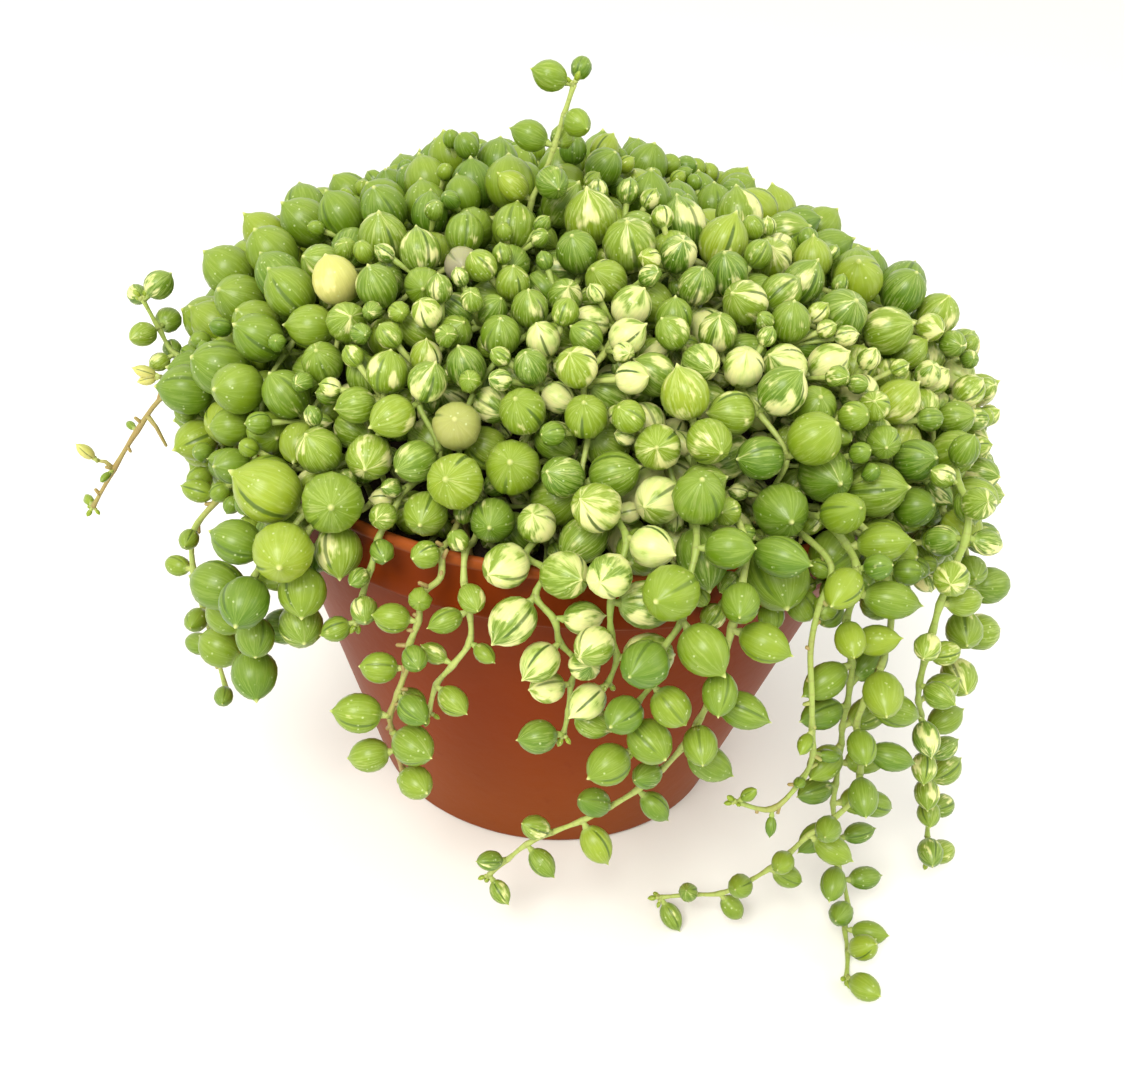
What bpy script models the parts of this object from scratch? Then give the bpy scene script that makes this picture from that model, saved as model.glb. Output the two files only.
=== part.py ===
"""A string of pearls in a round plastic nursery pot.

The pot is a thin shell with a stepped collar, the soil fills it to just below the rim, and every strand
is one closed body: a thin stem with its bead leaves grown on it. The strands rise from the soil, spread
over a low mound and hang over the rim. They are laid out first as rough routes and then settled, so that
leaves and stems press up to each other, the pot and the ground without touching.

Layout lengths are in millimetres and meshes are in metres. +Z is up and the fuller front faces -Y."""
import math

import bmesh
import bpy
import numpy as np

MM = 0.001

# The pot
RIM_RADIUS = 70.0
POT_HEIGHT = 91.0
BASE_SHARE = 0.604  # base radius as a share of the rim radius
COLLAR_DEPTH = 12.6
COLLAR_STEP = 4.6  # how far the wall sits in from the collar
COLLAR_DRAFT = 0.7
LIP_DEPTH = 2.2
LIP_PROUD = 0.5
EDGE_ROUND = 0.5
WALL = 1.2
FLOOR_THICKNESS = 1.6
FOOT_CHAMFER = 1.5
POT_SIDES = 48

# The soil
SOIL_BELOW_RIM = 9.0
SOIL_CROWN = 4.0
SOIL_SIDES = 24
CLEARANCE = 0.35  # between any two bodies

# The mound of leaves
MOUND_RISE = 48.0  # leaf centres above the rim at the axis
MOUND_LEFT = 1.15  # reach of the leaf centres to each side, in rim radii
MOUND_RIGHT = 1.22
MOUND_BACK = 1.14
MOUND_FRONT = 0.95
MOUND_STRANDS = 40
SKIRT_LEFT = 16.0  # how far the mound hangs below the rim on each side
SKIRT_RIGHT = 25.0
SKIRT_BACK = 8.0
STEM_DEPTH = 8.5  # how far the stems run below the leaf centres
ROOT_SHARE = 0.62
GOLDEN_ANGLE = math.pi * (3.0 - math.sqrt(5.0))

# Leaves and stems
LEAF_RADIUS = 4.9
LEAF_SMALLEST = 1.3
STALK = 1.2  # from the stem's middle line to the leaf, past the leaf's own radius
STEM_RADIUS = 0.8
STEM_GUARD = 1.95  # keeps two stems from crossing
SOCKET = 0.7  # half length of the stem where a stalk leaves it
PITCH = 1.56  # leaf spacing along a stem in leaf radii
TWIN_BELOW = 4.7  # leaves smaller than this grow two to a point, further apart
TWIN_PITCH = 2.12
LEAF_SIDES = 5

SETTLE_STEPS = 260
CALM_STEPS = 70
LIST_EVERY = 6
PRECISION = 7

# Patches of leaf size over the mound: x, y and spread in rim radii, leaf radius in millimetres
SIZE_PATCHES = (
    (-0.28, -0.58, 0.26, 3.2),
    (0.05, -0.58, 0.25, 3.4),
    (-0.50, -0.92, 0.15, 3.9),
    (0.32, -0.46, 0.22, 3.7),
    (0.82, -0.42, 0.20, 3.5),
    (1.05, -0.22, 0.18, 3.4),
    (0.10, -0.86, 0.16, 4.6),
    (0.55, -0.80, 0.18, 5.4),
    (-0.20, -0.90, 0.18, 5.1),
    (0.95, -0.66, 0.18, 5.0),
    (-0.88, -0.45, 0.34, 5.4),
)

# Where the mound stands out or sinks: x, y and spread in rim radii, then how far in millimetres
MOUND_LUMPS = (
    (-0.38, 0.12, 0.11, 5.0),
    (-0.58, 0.12, 0.12, -3.5),
    (0.00, 0.10, 0.12, 4.0),
    (0.32, 0.14, 0.22, -6.0),
    (0.58, 0.15, 0.13, 5.5),
    (1.00, 0.36, 0.34, -14.0),
    (-0.80, 0.10, 0.13, 3.0),
    (-0.20, 0.08, 0.08, -3.0),
    (-0.10, -0.42, 0.20, -3.0),
    (0.20, -0.82, 0.22, 2.5),
    (0.60, -0.75, 0.20, 3.0),
    (0.30, 0.75, 0.20, 3.0),
    (-0.50, 0.70, 0.20, 3.0),
    (-0.05, 0.90, 0.15, -3.0),
    (1.00, -0.22, 0.16, 3.0),
)

# Strands that leave the mound. Routes are x, y, z in millimetres for a pot of the sizes above, from the rim
# outwards. Then leaf spacing, first and last leaf radius, width over length, and bare length at the start.
TRAILS = (
    ("trail_left_cluster",
     ((-45, -60, 94), (-50, -66, 88), (-54, -64, 80), (-53, -62, 70), (-58, -58, 57)),
     5.2, 5.4, 4.2, 0.95, 0.0),
    ("trail_left_inner", ((-40, -62, 93), (-45, -64, 85), (-47, -62, 75), (-46, -62, 68)),
     5.6, 4.4, 3.6, 0.95, 0.0),
    ("trail_front_left_thin", ((-30, -66, 96), (-35, -68, 88), (-36, -68, 81), (-35, -68, 74)),
     5.0, 2.6, 2.4, 0.9, 0.0),
    ("trail_front_left",
     ((-20, -68, 95), (-22, -73, 84), (-24, -75, 74), (-25, -76, 67), (-27, -77, 58), (-25, -77, 50)),
     4.6, 2.6, 4.1, 0.85, 12.0),
    ("trail_front_left_short",
     ((-13, -68, 95), (-16, -74, 86), (-16, -75, 78), (-19, -75, 71), (-21, -76, 64)),
     5.6, 2.6, 2.9, 0.75, 4.0),
    ("trail_front",
     ((-3, -67, 97), (-3, -75, 92), (1, -78, 85), (5, -79, 78), (4, -78, 71), (3, -78, 63)),
     5.0, 4.2, 3.4, 0.9, 0.0),
    ("trail_front_spill", ((8, -66, 101), (10, -76, 99), (9, -80, 90), (9, -80, 82), (8, -79, 75)),
     5.6, 4.6, 3.8, 0.9, 0.0),
    ("trail_front_right",
     ((20, -66, 106), (20, -77, 101), (19, -81, 92), (17, -81, 81), (15, -81, 73), (15, -80, 62)),
     6.0, 4.8, 3.8, 0.9, 0.0),
    ("trail_front_long",
     ((26, -66, 103), (28, -79, 96), (28, -82, 84), (27, -80, 74), (25, -77, 62), (19, -75, 50),
      (10, -74, 40), (-1, -72, 31), (-9, -69, 17)),
     7.0, 5.2, 3.1, 0.74, 12.0),
    ("trail_right_long",
     ((44, -60, 104), (48, -70, 98), (51, -68, 80), (54, -64, 63), (57, -60, 44), (59, -58, 27),
      (65, -58, 12), (68, -61, 3), (66, -74, 3)),
     5.8, 5.0, 3.6, 0.7, 4.0),
    ("trail_right_branch",
     ((50, -56, 100), (58, -64, 90), (58, -67, 66), (60, -65, 44), (53, -66, 31), (45, -64, 17),
      (36, -63, 9), (27, -62, 5)),
     6.4, 4.6, 3.2, 0.7, 36.0),
    ("trail_right_tendril",
     ((40, -60, 99), (44, -72, 92), (47, -72, 70), (50, -69, 52), (43, -72, 44), (36, -74, 47)),
     8.0, 2.6, 2.0, 0.6, 42.0),
    ("trail_far_right",
     ((58, -42, 106), (68, -50, 106), (68, -62, 103), (65, -66, 88), (66, -64, 70), (75, -54, 46),
      (83, -44, 24), (86, -46, 9)),
     6.2, 3.4, 3.3, 0.8, 10.0),
    ("trail_far_right_short", ((64, -30, 102), (73, -42, 100), (75, -50, 84), (76, -50, 66)),
     5.4, 4.6, 3.6, 0.85, 0.0),
    ("trail_left_thin",
     ((-58, -30, 96), (-66, -42, 86), (-72, -45, 74), (-70, -46, 62), (-66, -48, 42)),
     8.6, 2.8, 3.0, 0.7, 10.0),
    ("shoot_left_up", ((-56, -4, 100), (-76, -8, 98), (-84, -9, 97), (-89, -9, 108)),
     6.5, 2.4, 3.2, 0.75, 20.0),
    ("shoot_left_twig",
     ((-54, -12, 98), (-78, -16, 92), (-90, -16, 84), (-96, -16, 74), (-103, -16, 62)),
     11.0, 1.6, 2.2, 0.55, 36.0),
    ("shoot_top", ((-9, -8, 112), (-9, -12, 140), (-7, -12, 150), (-5, -12, 158)),
     5.4, 3.2, 3.6, 0.85, 22.0),
)


def waver(number):
    """A repeatable value from 0 to 1 for a whole number."""
    value = math.sin(number * 12.9898 + 4.1414) * 43758.5453
    return value - math.floor(value)


def pot_rings():
    """The shell's half outline from the middle of its underside to the middle of its floor."""
    base = RIM_RADIUS * BASE_SHARE
    collar_bottom = POT_HEIGHT - COLLAR_DEPTH
    wall_top = RIM_RADIUS - COLLAR_STEP
    outer = [
        (0.0, 0.0),
        (base - FOOT_CHAMFER, 0.0),
        (base, FOOT_CHAMFER),
        (wall_top, collar_bottom - EDGE_ROUND),
        (RIM_RADIUS - COLLAR_DRAFT - EDGE_ROUND, collar_bottom),
        (RIM_RADIUS - COLLAR_DRAFT, collar_bottom + EDGE_ROUND),
        (RIM_RADIUS - LIP_PROUD, POT_HEIGHT - LIP_DEPTH),
        (RIM_RADIUS, POT_HEIGHT - LIP_DEPTH + EDGE_ROUND),
        (RIM_RADIUS, POT_HEIGHT - EDGE_ROUND),
        (RIM_RADIUS - EDGE_ROUND, POT_HEIGHT),
    ]
    inner = [
        (RIM_RADIUS - WALL - EDGE_ROUND, POT_HEIGHT),
        (RIM_RADIUS - WALL - COLLAR_DRAFT, collar_bottom + WALL),
        (wall_top - WALL, collar_bottom),
        (base - WALL, FLOOR_THICKNESS),
        (0.0, FLOOR_THICKNESS),
    ]
    return outer + inner


def soil_rings():
    """The soil's half outline, a clearance inside the shell."""
    base = RIM_RADIUS * BASE_SHARE
    collar_bottom = POT_HEIGHT - COLLAR_DEPTH
    soil_edge = POT_HEIGHT - SOIL_BELOW_RIM
    wide = RIM_RADIUS - WALL - COLLAR_DRAFT - 2 * CLEARANCE
    bottom = FLOOR_THICKNESS + CLEARANCE
    rings = [
        (0.0, bottom),
        (base - WALL - 2 * CLEARANCE, bottom),
        (RIM_RADIUS - COLLAR_STEP - WALL - 2 * CLEARANCE, collar_bottom + CLEARANCE),
    ]
    if soil_edge > collar_bottom + WALL + 2 * CLEARANCE:
        rings.append((wide, collar_bottom + WALL + 2 * CLEARANCE))
        rings.append((wide, soil_edge))
    for share in (0.72, 0.40):
        rings.append((wide * share, soil_edge + SOIL_CROWN * (1 - share**2)))
    rings.append((0.0, soil_edge + SOIL_CROWN))
    return rings


def soil_height(radius):
    return POT_HEIGHT - SOIL_BELOW_RIM + SOIL_CROWN * (1 - min(radius / RIM_RADIUS, 1.0) ** 2)


def reach_at(cosine, sine):
    """How far the mound's leaf centres reach in a direction round the axis."""
    side = MOUND_LEFT + (MOUND_RIGHT - MOUND_LEFT) * (1 + cosine) * 0.5
    front, back = np.maximum(0.0, -sine) ** 3, np.maximum(0.0, sine) ** 2
    return RIM_RADIUS * (side + (MOUND_FRONT - side) * front + (MOUND_BACK - side) * back)


def skirt_at(angle):
    """How far the mound hangs below the rim at this angle round the axis."""
    side = SKIRT_LEFT + (SKIRT_RIGHT - SKIRT_LEFT) * (1 + math.cos(angle)) * 0.5
    front = max(0.0, -math.sin(angle))
    back = max(0.0, math.sin(angle)) ** 2
    return (side + (SKIRT_BACK - side) * back) * max(0.0, 1 - 1.5 * front**2)


def leaf_size(x, y):
    """The usual leaf radius at this place in plan."""
    size = LEAF_RADIUS
    for patch_x, patch_y, spread, radius in SIZE_PATCHES:
        away = ((x / RIM_RADIUS - patch_x) ** 2 + (y / RIM_RADIUS - patch_y) ** 2) / spread**2
        size += (radius - size) * math.exp(-away)
    return size


def swell(x, y):
    """The mound's lumpy size at this place in plan, as a share of the smooth mound's."""
    total = 1.0
    for lump_x, lump_y, spread, height in MOUND_LUMPS:
        away = ((x / RIM_RADIUS - lump_x) ** 2 + (y / RIM_RADIUS - lump_y) ** 2) / spread**2
        total = total + height / MOUND_RISE * np.exp(-away)
    return total


def on_mound(polar, angle, depth):
    """A point on the mound, depth below its leaf centres. Past a quarter turn it is on the skirt."""
    reach = float(reach_at(math.cos(angle), math.sin(angle))) - depth
    rise = MOUND_RISE - depth
    if polar <= math.pi / 2:
        radius, height = reach * math.sin(polar), rise * math.cos(polar)
    else:
        radius, height = reach, -(polar - math.pi / 2) * RIM_RADIUS * 0.5
    return (radius * math.cos(angle), radius * math.sin(angle), POT_HEIGHT + height)


def warped(point):
    """Bends the strands' routes sideways, all in the same way, so that none cross."""
    x, y, z = point
    pace = RIM_RADIUS * 0.36
    sway = RIM_RADIUS * 0.10
    return (x + sway * math.sin(y / pace + 1.0), y + sway * math.sin(x / pace + 3.6), z)


def mound_plan():
    """The strands of the mound, as routes with a leaf at every point that has a radius."""
    strands = []
    for index in range(MOUND_STRANDS):
        polar = math.asin(0.955 * (index + 0.6) / MOUND_STRANDS)
        angle = index * GOLDEN_ANGLE + 0.4
        reach = float(reach_at(math.cos(angle), math.sin(angle)))
        radius = min(ROOT_SHARE * reach * math.sin(polar), RIM_RADIUS - 3 * COLLAR_STEP)
        root = (radius * math.cos(angle), radius * math.sin(angle), soil_height(radius) + CLEARANCE)
        start = warped(on_mound(polar, angle, STEM_DEPTH))
        climb = max(1, round(math.dist(root, start) / (PITCH * LEAF_RADIUS)))
        route = [tuple(a + (b - a) * step / climb for a, b in zip(root, start)) for step in range(climb)]
        leaves = [0.0] * climb
        end = math.pi / 2 + skirt_at(angle) / (RIM_RADIUS * 0.5)
        while polar < end:
            point = on_mound(polar, angle, STEM_DEPTH)
            size = leaf_size(point[0], point[1]) * (0.9 + 0.2 * waver(index * 57 + len(route)))
            route.append(warped(point))
            leaves.append(size)
            along = on_mound(polar + 0.01, angle, STEM_DEPTH)
            pitch = TWIN_PITCH if size < TWIN_BELOW else PITCH
            polar += 0.01 * pitch * size / math.dist(point, along)
        if skirt_at(angle) > LEAF_RADIUS:
            leaves[-1] *= 0.72
            leaves[-2] *= 0.88
        strands.append({"name": f"mound_{index + 1:02d}", "route": route, "leaves": leaves, "free": False,
                        "width": 0.97, "seed": index * 57})
    return strands


def trail_plan():
    """The strands that leave the mound, with leaves at their own spacing."""
    strands = []
    across, tall = RIM_RADIUS / 70.0, POT_HEIGHT / 91.0
    for number, (name, points, spacing, first, last, width, bare) in enumerate(TRAILS):
        points = [(x * across, y * across, z * tall) for x, y, z in points]
        x, y, _ = points[0]
        shrink = min(1.0, (RIM_RADIUS - 2.2 * COLLAR_STEP) / max(math.hypot(x, y), 1.0))
        root = (x * shrink * 0.97, y * shrink * 0.97, soil_height(math.hypot(x, y) * shrink) + CLEARANCE)
        inside = (x * shrink, y * shrink, POT_HEIGHT + 3.0)
        points = [root, inside] + points if points[0][2] > POT_HEIGHT + 1.0 else [root] + points
        lengths = [math.dist(a, b) for a, b in zip(points, points[1:])]
        total = sum(lengths)
        count = max(4, round(total / spacing))
        lead = math.dist(points[0], points[1]) + (lengths[1] if len(points) > 2 else 0.0) * 0.5 + bare
        route, leaves = [], []
        for step in range(count + 1):
            at = total * step / count
            piece = 0
            gone = at
            while piece < len(lengths) - 1 and gone > lengths[piece]:
                gone -= lengths[piece]
                piece += 1
            share = min(1.0, gone / lengths[piece])
            route.append(tuple(a + (b - a) * share for a, b in zip(points[piece], points[piece + 1])))
            if at < lead:
                leaves.append(0.0)
            else:
                done = (at - lead) / max(total - lead, 1.0)
                mixed = first + (last - first) * done
                leaves.append(mixed * (0.84 + 0.32 * waver(900 + number * 31 + step)))
        strands.append({"name": name, "route": route, "leaves": leaves, "free": True, "width": width,
                        "seed": 4000 + number * 57})
    return strands


def pot_distance(radius, height):
    """Distance from the pot and soil, negative inside, and its outward direction in the half plane.

    The corner between soil and rim counts as filled, so that stems near it pass over the rim."""
    collar_bottom = POT_HEIGHT - COLLAR_DEPTH
    soil_edge = POT_HEIGHT - SOIL_BELOW_RIM
    wide = RIM_RADIUS - WALL - COLLAR_DRAFT
    base = RIM_RADIUS * BASE_SHARE
    outline = (
        (0.0, soil_edge + SOIL_CROWN),
        (wide * 0.5, soil_edge + SOIL_CROWN * 0.75),
        (wide * 0.86, soil_edge + SOIL_CROWN * 0.26),
        (wide, POT_HEIGHT),
        (RIM_RADIUS, POT_HEIGHT),
        (RIM_RADIUS, collar_bottom),
        (RIM_RADIUS - COLLAR_STEP, collar_bottom - EDGE_ROUND),
        (base, 0.0),
        (0.0, 0.0),
    )
    nearest = np.full(radius.shape, 1e9)
    out_r, out_z = np.zeros(radius.shape), np.zeros(radius.shape)
    inside = np.zeros(radius.shape, dtype=bool)
    for (r0, z0), (r1, z1) in zip(outline, outline[1:]):
        run_r, run_z = r1 - r0, z1 - z0
        share = np.clip(((radius - r0) * run_r + (height - z0) * run_z) / (run_r**2 + run_z**2), 0.0, 1.0)
        off_r, off_z = radius - (r0 + share * run_r), height - (z0 + share * run_z)
        away = np.sqrt(off_r**2 + off_z**2)
        closer = away < nearest
        nearest = np.where(closer, away, nearest)
        out_r, out_z = np.where(closer, off_r, out_r), np.where(closer, off_z, out_z)
        if z0 != z1:
            crosses = (height < z0) != (height < z1)
            inside ^= crosses & (radius < r0 + (height - z0) * run_r / run_z)
    sign = np.where(inside, -1.0, 1.0)
    scale = sign / np.maximum(nearest, 1e-6)
    return sign * nearest, out_r * scale, out_z * scale


def clear_of_pot(at, thick):
    """How far balls of this radius have to move to leave the pot, the soil and the ground."""
    radius = np.sqrt(at[:, 0] ** 2 + at[:, 1] ** 2)
    away, out_r, out_z = pot_distance(radius, at[:, 2])
    lift = np.maximum(thick - away, 0.0)
    moves = np.zeros(at.shape)
    for axis in range(2):
        moves[:, axis] = lift * out_r * at[:, axis] / np.maximum(radius, 1e-6)
    moves[:, 2] = lift * out_z + np.maximum(thick - at[:, 2], 0.0)
    return moves


def length_of(vectors):
    return np.sqrt(vectors[:, 0] ** 2 + vectors[:, 1] ** 2 + vectors[:, 2] ** 2)


def unit(vectors):
    return vectors / np.maximum(length_of(vectors), 1e-9)[:, None]


class Layout:
    """All strands' stem points and leaf centres, and what keeps them apart."""

    def __init__(self, strands):
        self.strands = strands
        points, owner, order, leaf_at, sizes, side = [], [], [], [], [], []
        for which, strand in enumerate(strands):
            route = np.array(strand["route"])
            ahead = np.vstack([route[1:] - route[:-1], route[-1:] - route[-2:-1]])
            for step, size in enumerate(strand["leaves"]):
                twins = 2 if size < TWIN_BELOW and not strand["free"] else 1
                for twin in range(twins if size > 0.0 else 0):
                    leaf_at.append(len(points))
                    sizes.append(max(size * (1.0 - 0.1 * twin), LEAF_SMALLEST))
                    out = np.array([route[step][0], route[step][1], 0.0])
                    if not strand["free"]:
                        out[2] = (route[step][2] - POT_HEIGHT + 0.15 * RIM_RADIUS) * 2.0
                    out = out / max(math.sqrt(float((out**2).sum())), 1e-6)
                    across = np.cross(ahead[step], out)
                    across = across / max(math.sqrt(float((across**2).sum())), 1e-6)
                    turn = waver(strand["seed"] + step)
                    lean = (1.0 if len(sizes) % 2 else -1.0) * (0.65 + 0.5 * turn)
                    side.append(out * (0.75 if not strand["free"] else 0.45) + across * lean)
                points.append(route[step])
                owner.append(which)
                order.append(2 * step)
        self.points = np.array(points)
        self.home = self.points.copy()
        self.owner, self.order = np.array(owner), np.array(order)
        self.leaf_at, self.sizes = np.array(leaf_at), np.array(sizes)
        self.side = unit(np.array(side))
        self.leaves = self.points[self.leaf_at] + self.side * (self.sizes + STALK)[:, None]
        same = self.owner[1:] == self.owner[:-1]
        self.first = np.nonzero(same)[0]
        self.rest = length_of(self.points[self.first + 1] - self.points[self.first])
        self.free = np.array([strands[which]["free"] for which in self.owner])
        self.pinned = self.order == 0
        self.depth = np.array([(waver(7.3 * number) - 0.6) * 5.0 for number in range(len(self.leaves))])
        self.count = len(self.points)
        self.middles = len(self.first)

    def balls(self):
        middles = (self.points[self.first] + self.points[self.first + 1]) * 0.5
        return np.vstack([self.points, middles, self.leaves])

    def find_pairs(self):
        """Balls that may meet, and how far apart their middles have to stay."""
        at = self.balls()
        stem = self.count + self.middles
        owner = np.concatenate([self.owner, self.owner[self.first], self.owner[self.leaf_at]])
        order = np.concatenate([self.order, self.order[self.first] + 1, self.order[self.leaf_at]])
        guard = np.concatenate([np.full(stem, STEM_GUARD), self.sizes + 0.5 * CLEARANCE])
        slack = 3.0
        left, right = [], []
        for start in range(0, len(at), 256):
            block = at[start:start + 256]
            gap2 = sum((block[:, None, axis] - at[None, :, axis]) ** 2 for axis in range(3))
            limit = guard[start:start + 256][:, None] + guard[None, :] + slack
            rows, columns = np.nonzero(gap2 < limit**2)
            keep = rows + start < columns
            left.append(rows[keep] + start)
            right.append(columns[keep])
        left, right = np.concatenate(left), np.concatenate(right)
        need = guard[left] + guard[right]
        same = owner[left] == owner[right]
        steps = np.abs(order[left] - order[right])
        both_stem = (left < stem) & (right < stem)
        one_leaf = (left < stem) & (right >= stem)
        keep = ~(same & both_stem & (steps <= 3)) & ~(same & one_leaf & (steps == 0))
        close = same & one_leaf & (steps <= 3)
        need = np.where(close, guard[right] + STEM_RADIUS + CLEARANCE, need)
        return left[keep], right[keep], need[keep]

    def share_out(self, moves):
        """Turns the balls' moves into moves of stem points and leaves."""
        stem = self.count + self.middles
        points = moves[:self.count].copy()
        middle = moves[self.count:stem] * 0.8
        for axis in range(3):
            points[:, axis] += np.bincount(self.first, middle[:, axis], self.count)
            points[:, axis] += np.bincount(self.first + 1, middle[:, axis], self.count)
        return points, moves[stem:]

    def pulls(self, strength):
        """Draws the mound's leaves and stems to its surface, and free strands to their routes."""
        axis = np.array([0.0, 0.0, POT_HEIGHT])
        of_leaf = self.free[self.leaf_at]
        for at, depth, free in ((self.points, STEM_DEPTH, self.free), (self.leaves, self.depth, of_leaf)):
            off = at - axis
            flat = np.maximum(np.sqrt(off[:, 0] ** 2 + off[:, 1] ** 2), 1e-6)
            reach = reach_at(off[:, 0] / flat, off[:, 1] / flat)
            above = np.maximum(off[:, 2], 0.0)
            level = np.sqrt(flat**2 / (reach - depth) ** 2 + above**2 / (MOUND_RISE - depth) ** 2)
            level = level / swell(at[:, 0], at[:, 1])
            move = off * (1.0 / np.maximum(level, 0.2) - 1.0)[:, None]
            move[:, 2] = np.where(off[:, 2] > 0.0, move[:, 2], 0.0)
            wanted = ~free
            if at is self.points:
                wanted = wanted & self.climbed
            at += np.where(wanted[:, None], move, 0.0) * strength
        self.points += np.where(self.free[:, None], self.home - self.points, 0.0) * strength
        spot = self.points[self.leaf_at] + self.side * (self.sizes + STALK)[:, None]
        share = np.where(self.free[self.leaf_at], strength, 0.2 * strength)
        self.leaves += (spot - self.leaves) * share[:, None]

    def settle(self):
        has_leaf = np.zeros(self.count, dtype=bool)
        has_leaf[self.leaf_at] = True
        self.climbed = has_leaf
        pairs = None
        for step in range(SETTLE_STEPS + CALM_STEPS):
            if step % LIST_EVERY == 0:
                pairs = self.find_pairs()
            if step < SETTLE_STEPS:
                self.pulls(0.10 if step < SETTLE_STEPS * 0.6 else 0.04)
            self.keep_lengths()
            self.keep_apart(pairs)
            self.points[self.pinned] = self.home[self.pinned]
            self.points, self.leaves = np.round(self.points, PRECISION), np.round(self.leaves, PRECISION)

    def keep_lengths(self):
        for _ in range(2):
            along = self.points[self.first + 1] - self.points[self.first]
            size = length_of(along)
            fix = along * ((size - self.rest) / np.maximum(size, 1e-6) * 0.4)[:, None]
            for axis in range(3):
                self.points[:, axis] += np.bincount(self.first, fix[:, axis], self.count)
                self.points[:, axis] -= np.bincount(self.first + 1, fix[:, axis], self.count)
            stalk = self.leaves - self.points[self.leaf_at]
            size = length_of(stalk)
            fix = stalk * ((size - self.sizes - STALK) / np.maximum(size, 1e-6))[:, None]
            self.leaves -= fix * 0.65
            for axis in range(3):
                self.points[:, axis] += np.bincount(self.leaf_at, fix[:, axis], self.count) * 0.3

    def keep_apart(self, pairs):
        left, right, need = pairs
        at = self.balls()
        apart = at[right] - at[left]
        gap = length_of(apart)
        short = np.maximum(need - gap, 0.0)
        push = apart * (short / np.maximum(gap, 1e-6) * 0.42)[:, None]
        moves = np.zeros(at.shape)
        for axis in range(3):
            moves[:, axis] += np.bincount(right, push[:, axis], len(at))
            moves[:, axis] -= np.bincount(left, push[:, axis], len(at))
        stem = self.count + self.middles
        thick = np.concatenate([np.full(stem, STEM_RADIUS + CLEARANCE), self.sizes + CLEARANCE])
        points, leaves = self.share_out(np.clip(moves + clear_of_pot(at, thick), -2.0, 2.0))
        self.points += points
        self.leaves += leaves
        start, end = self.points[self.first], self.points[self.first + 1]
        for share in (0.2, 0.4, 0.6, 0.8):
            moves = clear_of_pot(start + (end - start) * share, STEM_RADIUS + CLEARANCE)
            for axis in range(3):
                move = np.bincount(self.first, moves[:, axis] * (1 - share), self.count)
                move = move + np.bincount(self.first + 1, moves[:, axis] * share, self.count)
                self.points[:, axis] += 0.7 * move

    def fit(self):
        """Shrinks leaves and thins stems where anything is still too close."""
        sizes = self.sizes.copy()
        for row in range(len(sizes)):
            gap = length_of(self.leaves - self.leaves[row])
            gap[row] = 1e9
            room = (gap - CLEARANCE) / (self.sizes + self.sizes[row])
            sizes[row] = min(sizes[row], self.sizes[row] * float(room.min()))
        start, end = self.points[self.first], self.points[self.first + 1]
        run = end - start
        run2 = np.maximum((run**2).sum(axis=1), 1e-9)
        for row in range(len(sizes)):
            share = np.clip(((self.leaves[row] - start) * run).sum(axis=1) / run2, 0.0, 1.0)
            gap = length_of(start + run * share[:, None] - self.leaves[row])
            near = self.leaf_at[row]
            gap[(self.first == near) | (self.first + 1 == near)] += 0.8
            sizes[row] = min(sizes[row], float(gap.min()) - STEM_RADIUS - CLEARANCE)
        radius = np.sqrt(self.leaves[:, 0] ** 2 + self.leaves[:, 1] ** 2)
        away, _, _ = pot_distance(radius, self.leaves[:, 2])
        sizes = np.minimum(sizes, np.minimum(away, self.leaves[:, 2]) - CLEARANCE)
        self.fitted = np.maximum(sizes, 0.6)


def stem_thickness(layout):
    """The stems' radius at each point, less where another stem passes close by."""
    thick = np.full(layout.count, STEM_RADIUS)
    starts, ends = layout.points[layout.first], layout.points[layout.first + 1]
    owner = layout.owner[layout.first]
    shares = (0.0, 0.25, 0.5, 0.75, 1.0)
    samples = [starts + (ends - starts) * share for share in shares]
    for row in range(len(layout.first)):
        other = owner != owner[row]
        closest = 1e9
        for mine in samples:
            for theirs in samples:
                gap = length_of(theirs - mine[row])
                closest = min(closest, float(gap[other].min()))
        fit = max(0.25, min(STEM_RADIUS, closest * 0.5 - CLEARANCE))
        for point in (layout.first[row], layout.first[row] + 1):
            thick[point] = min(thick[point], fit)
    return thick


def bridge(vertices, faces, low, high):
    """Joins two closed rows of vertices that run the same way round, from where they lie closest."""
    def spread(shift):
        total = 0.0
        for place, vertex in enumerate(low):
            mate = high[(shift + round(place * len(high) / len(low))) % len(high)]
            total += float(((vertices[vertex] - vertices[mate]) ** 2).sum())
        return total

    best = min(range(len(high)), key=spread)
    high = high[best:] + high[:best]
    i = j = 0
    while i < len(low) or j < len(high):
        low_now, high_now = low[i % len(low)], high[j % len(high)]
        if j >= len(high) or (i < len(low) and (i + 1) * len(high) <= (j + 1) * len(low)):
            faces.append((low_now, low[(i + 1) % len(low)], high_now))
            i += 1
        else:
            faces.append((low_now, high[(j + 1) % len(high)], high_now))
            j += 1


def leaf_sides(facing, turn, leaves):
    """Which side of the three-sided stem each leaf grows from, the first leaf choosing first."""
    sides = {}
    for angle, leaf in zip(facing, leaves):
        turns = math.remainder(angle - turn, math.tau) / (math.tau / 3)
        side = round(turns)
        if side % 3 in sides:
            side += 1 if turns > side else -1
        sides[side % 3] = leaf
    return sides


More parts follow.
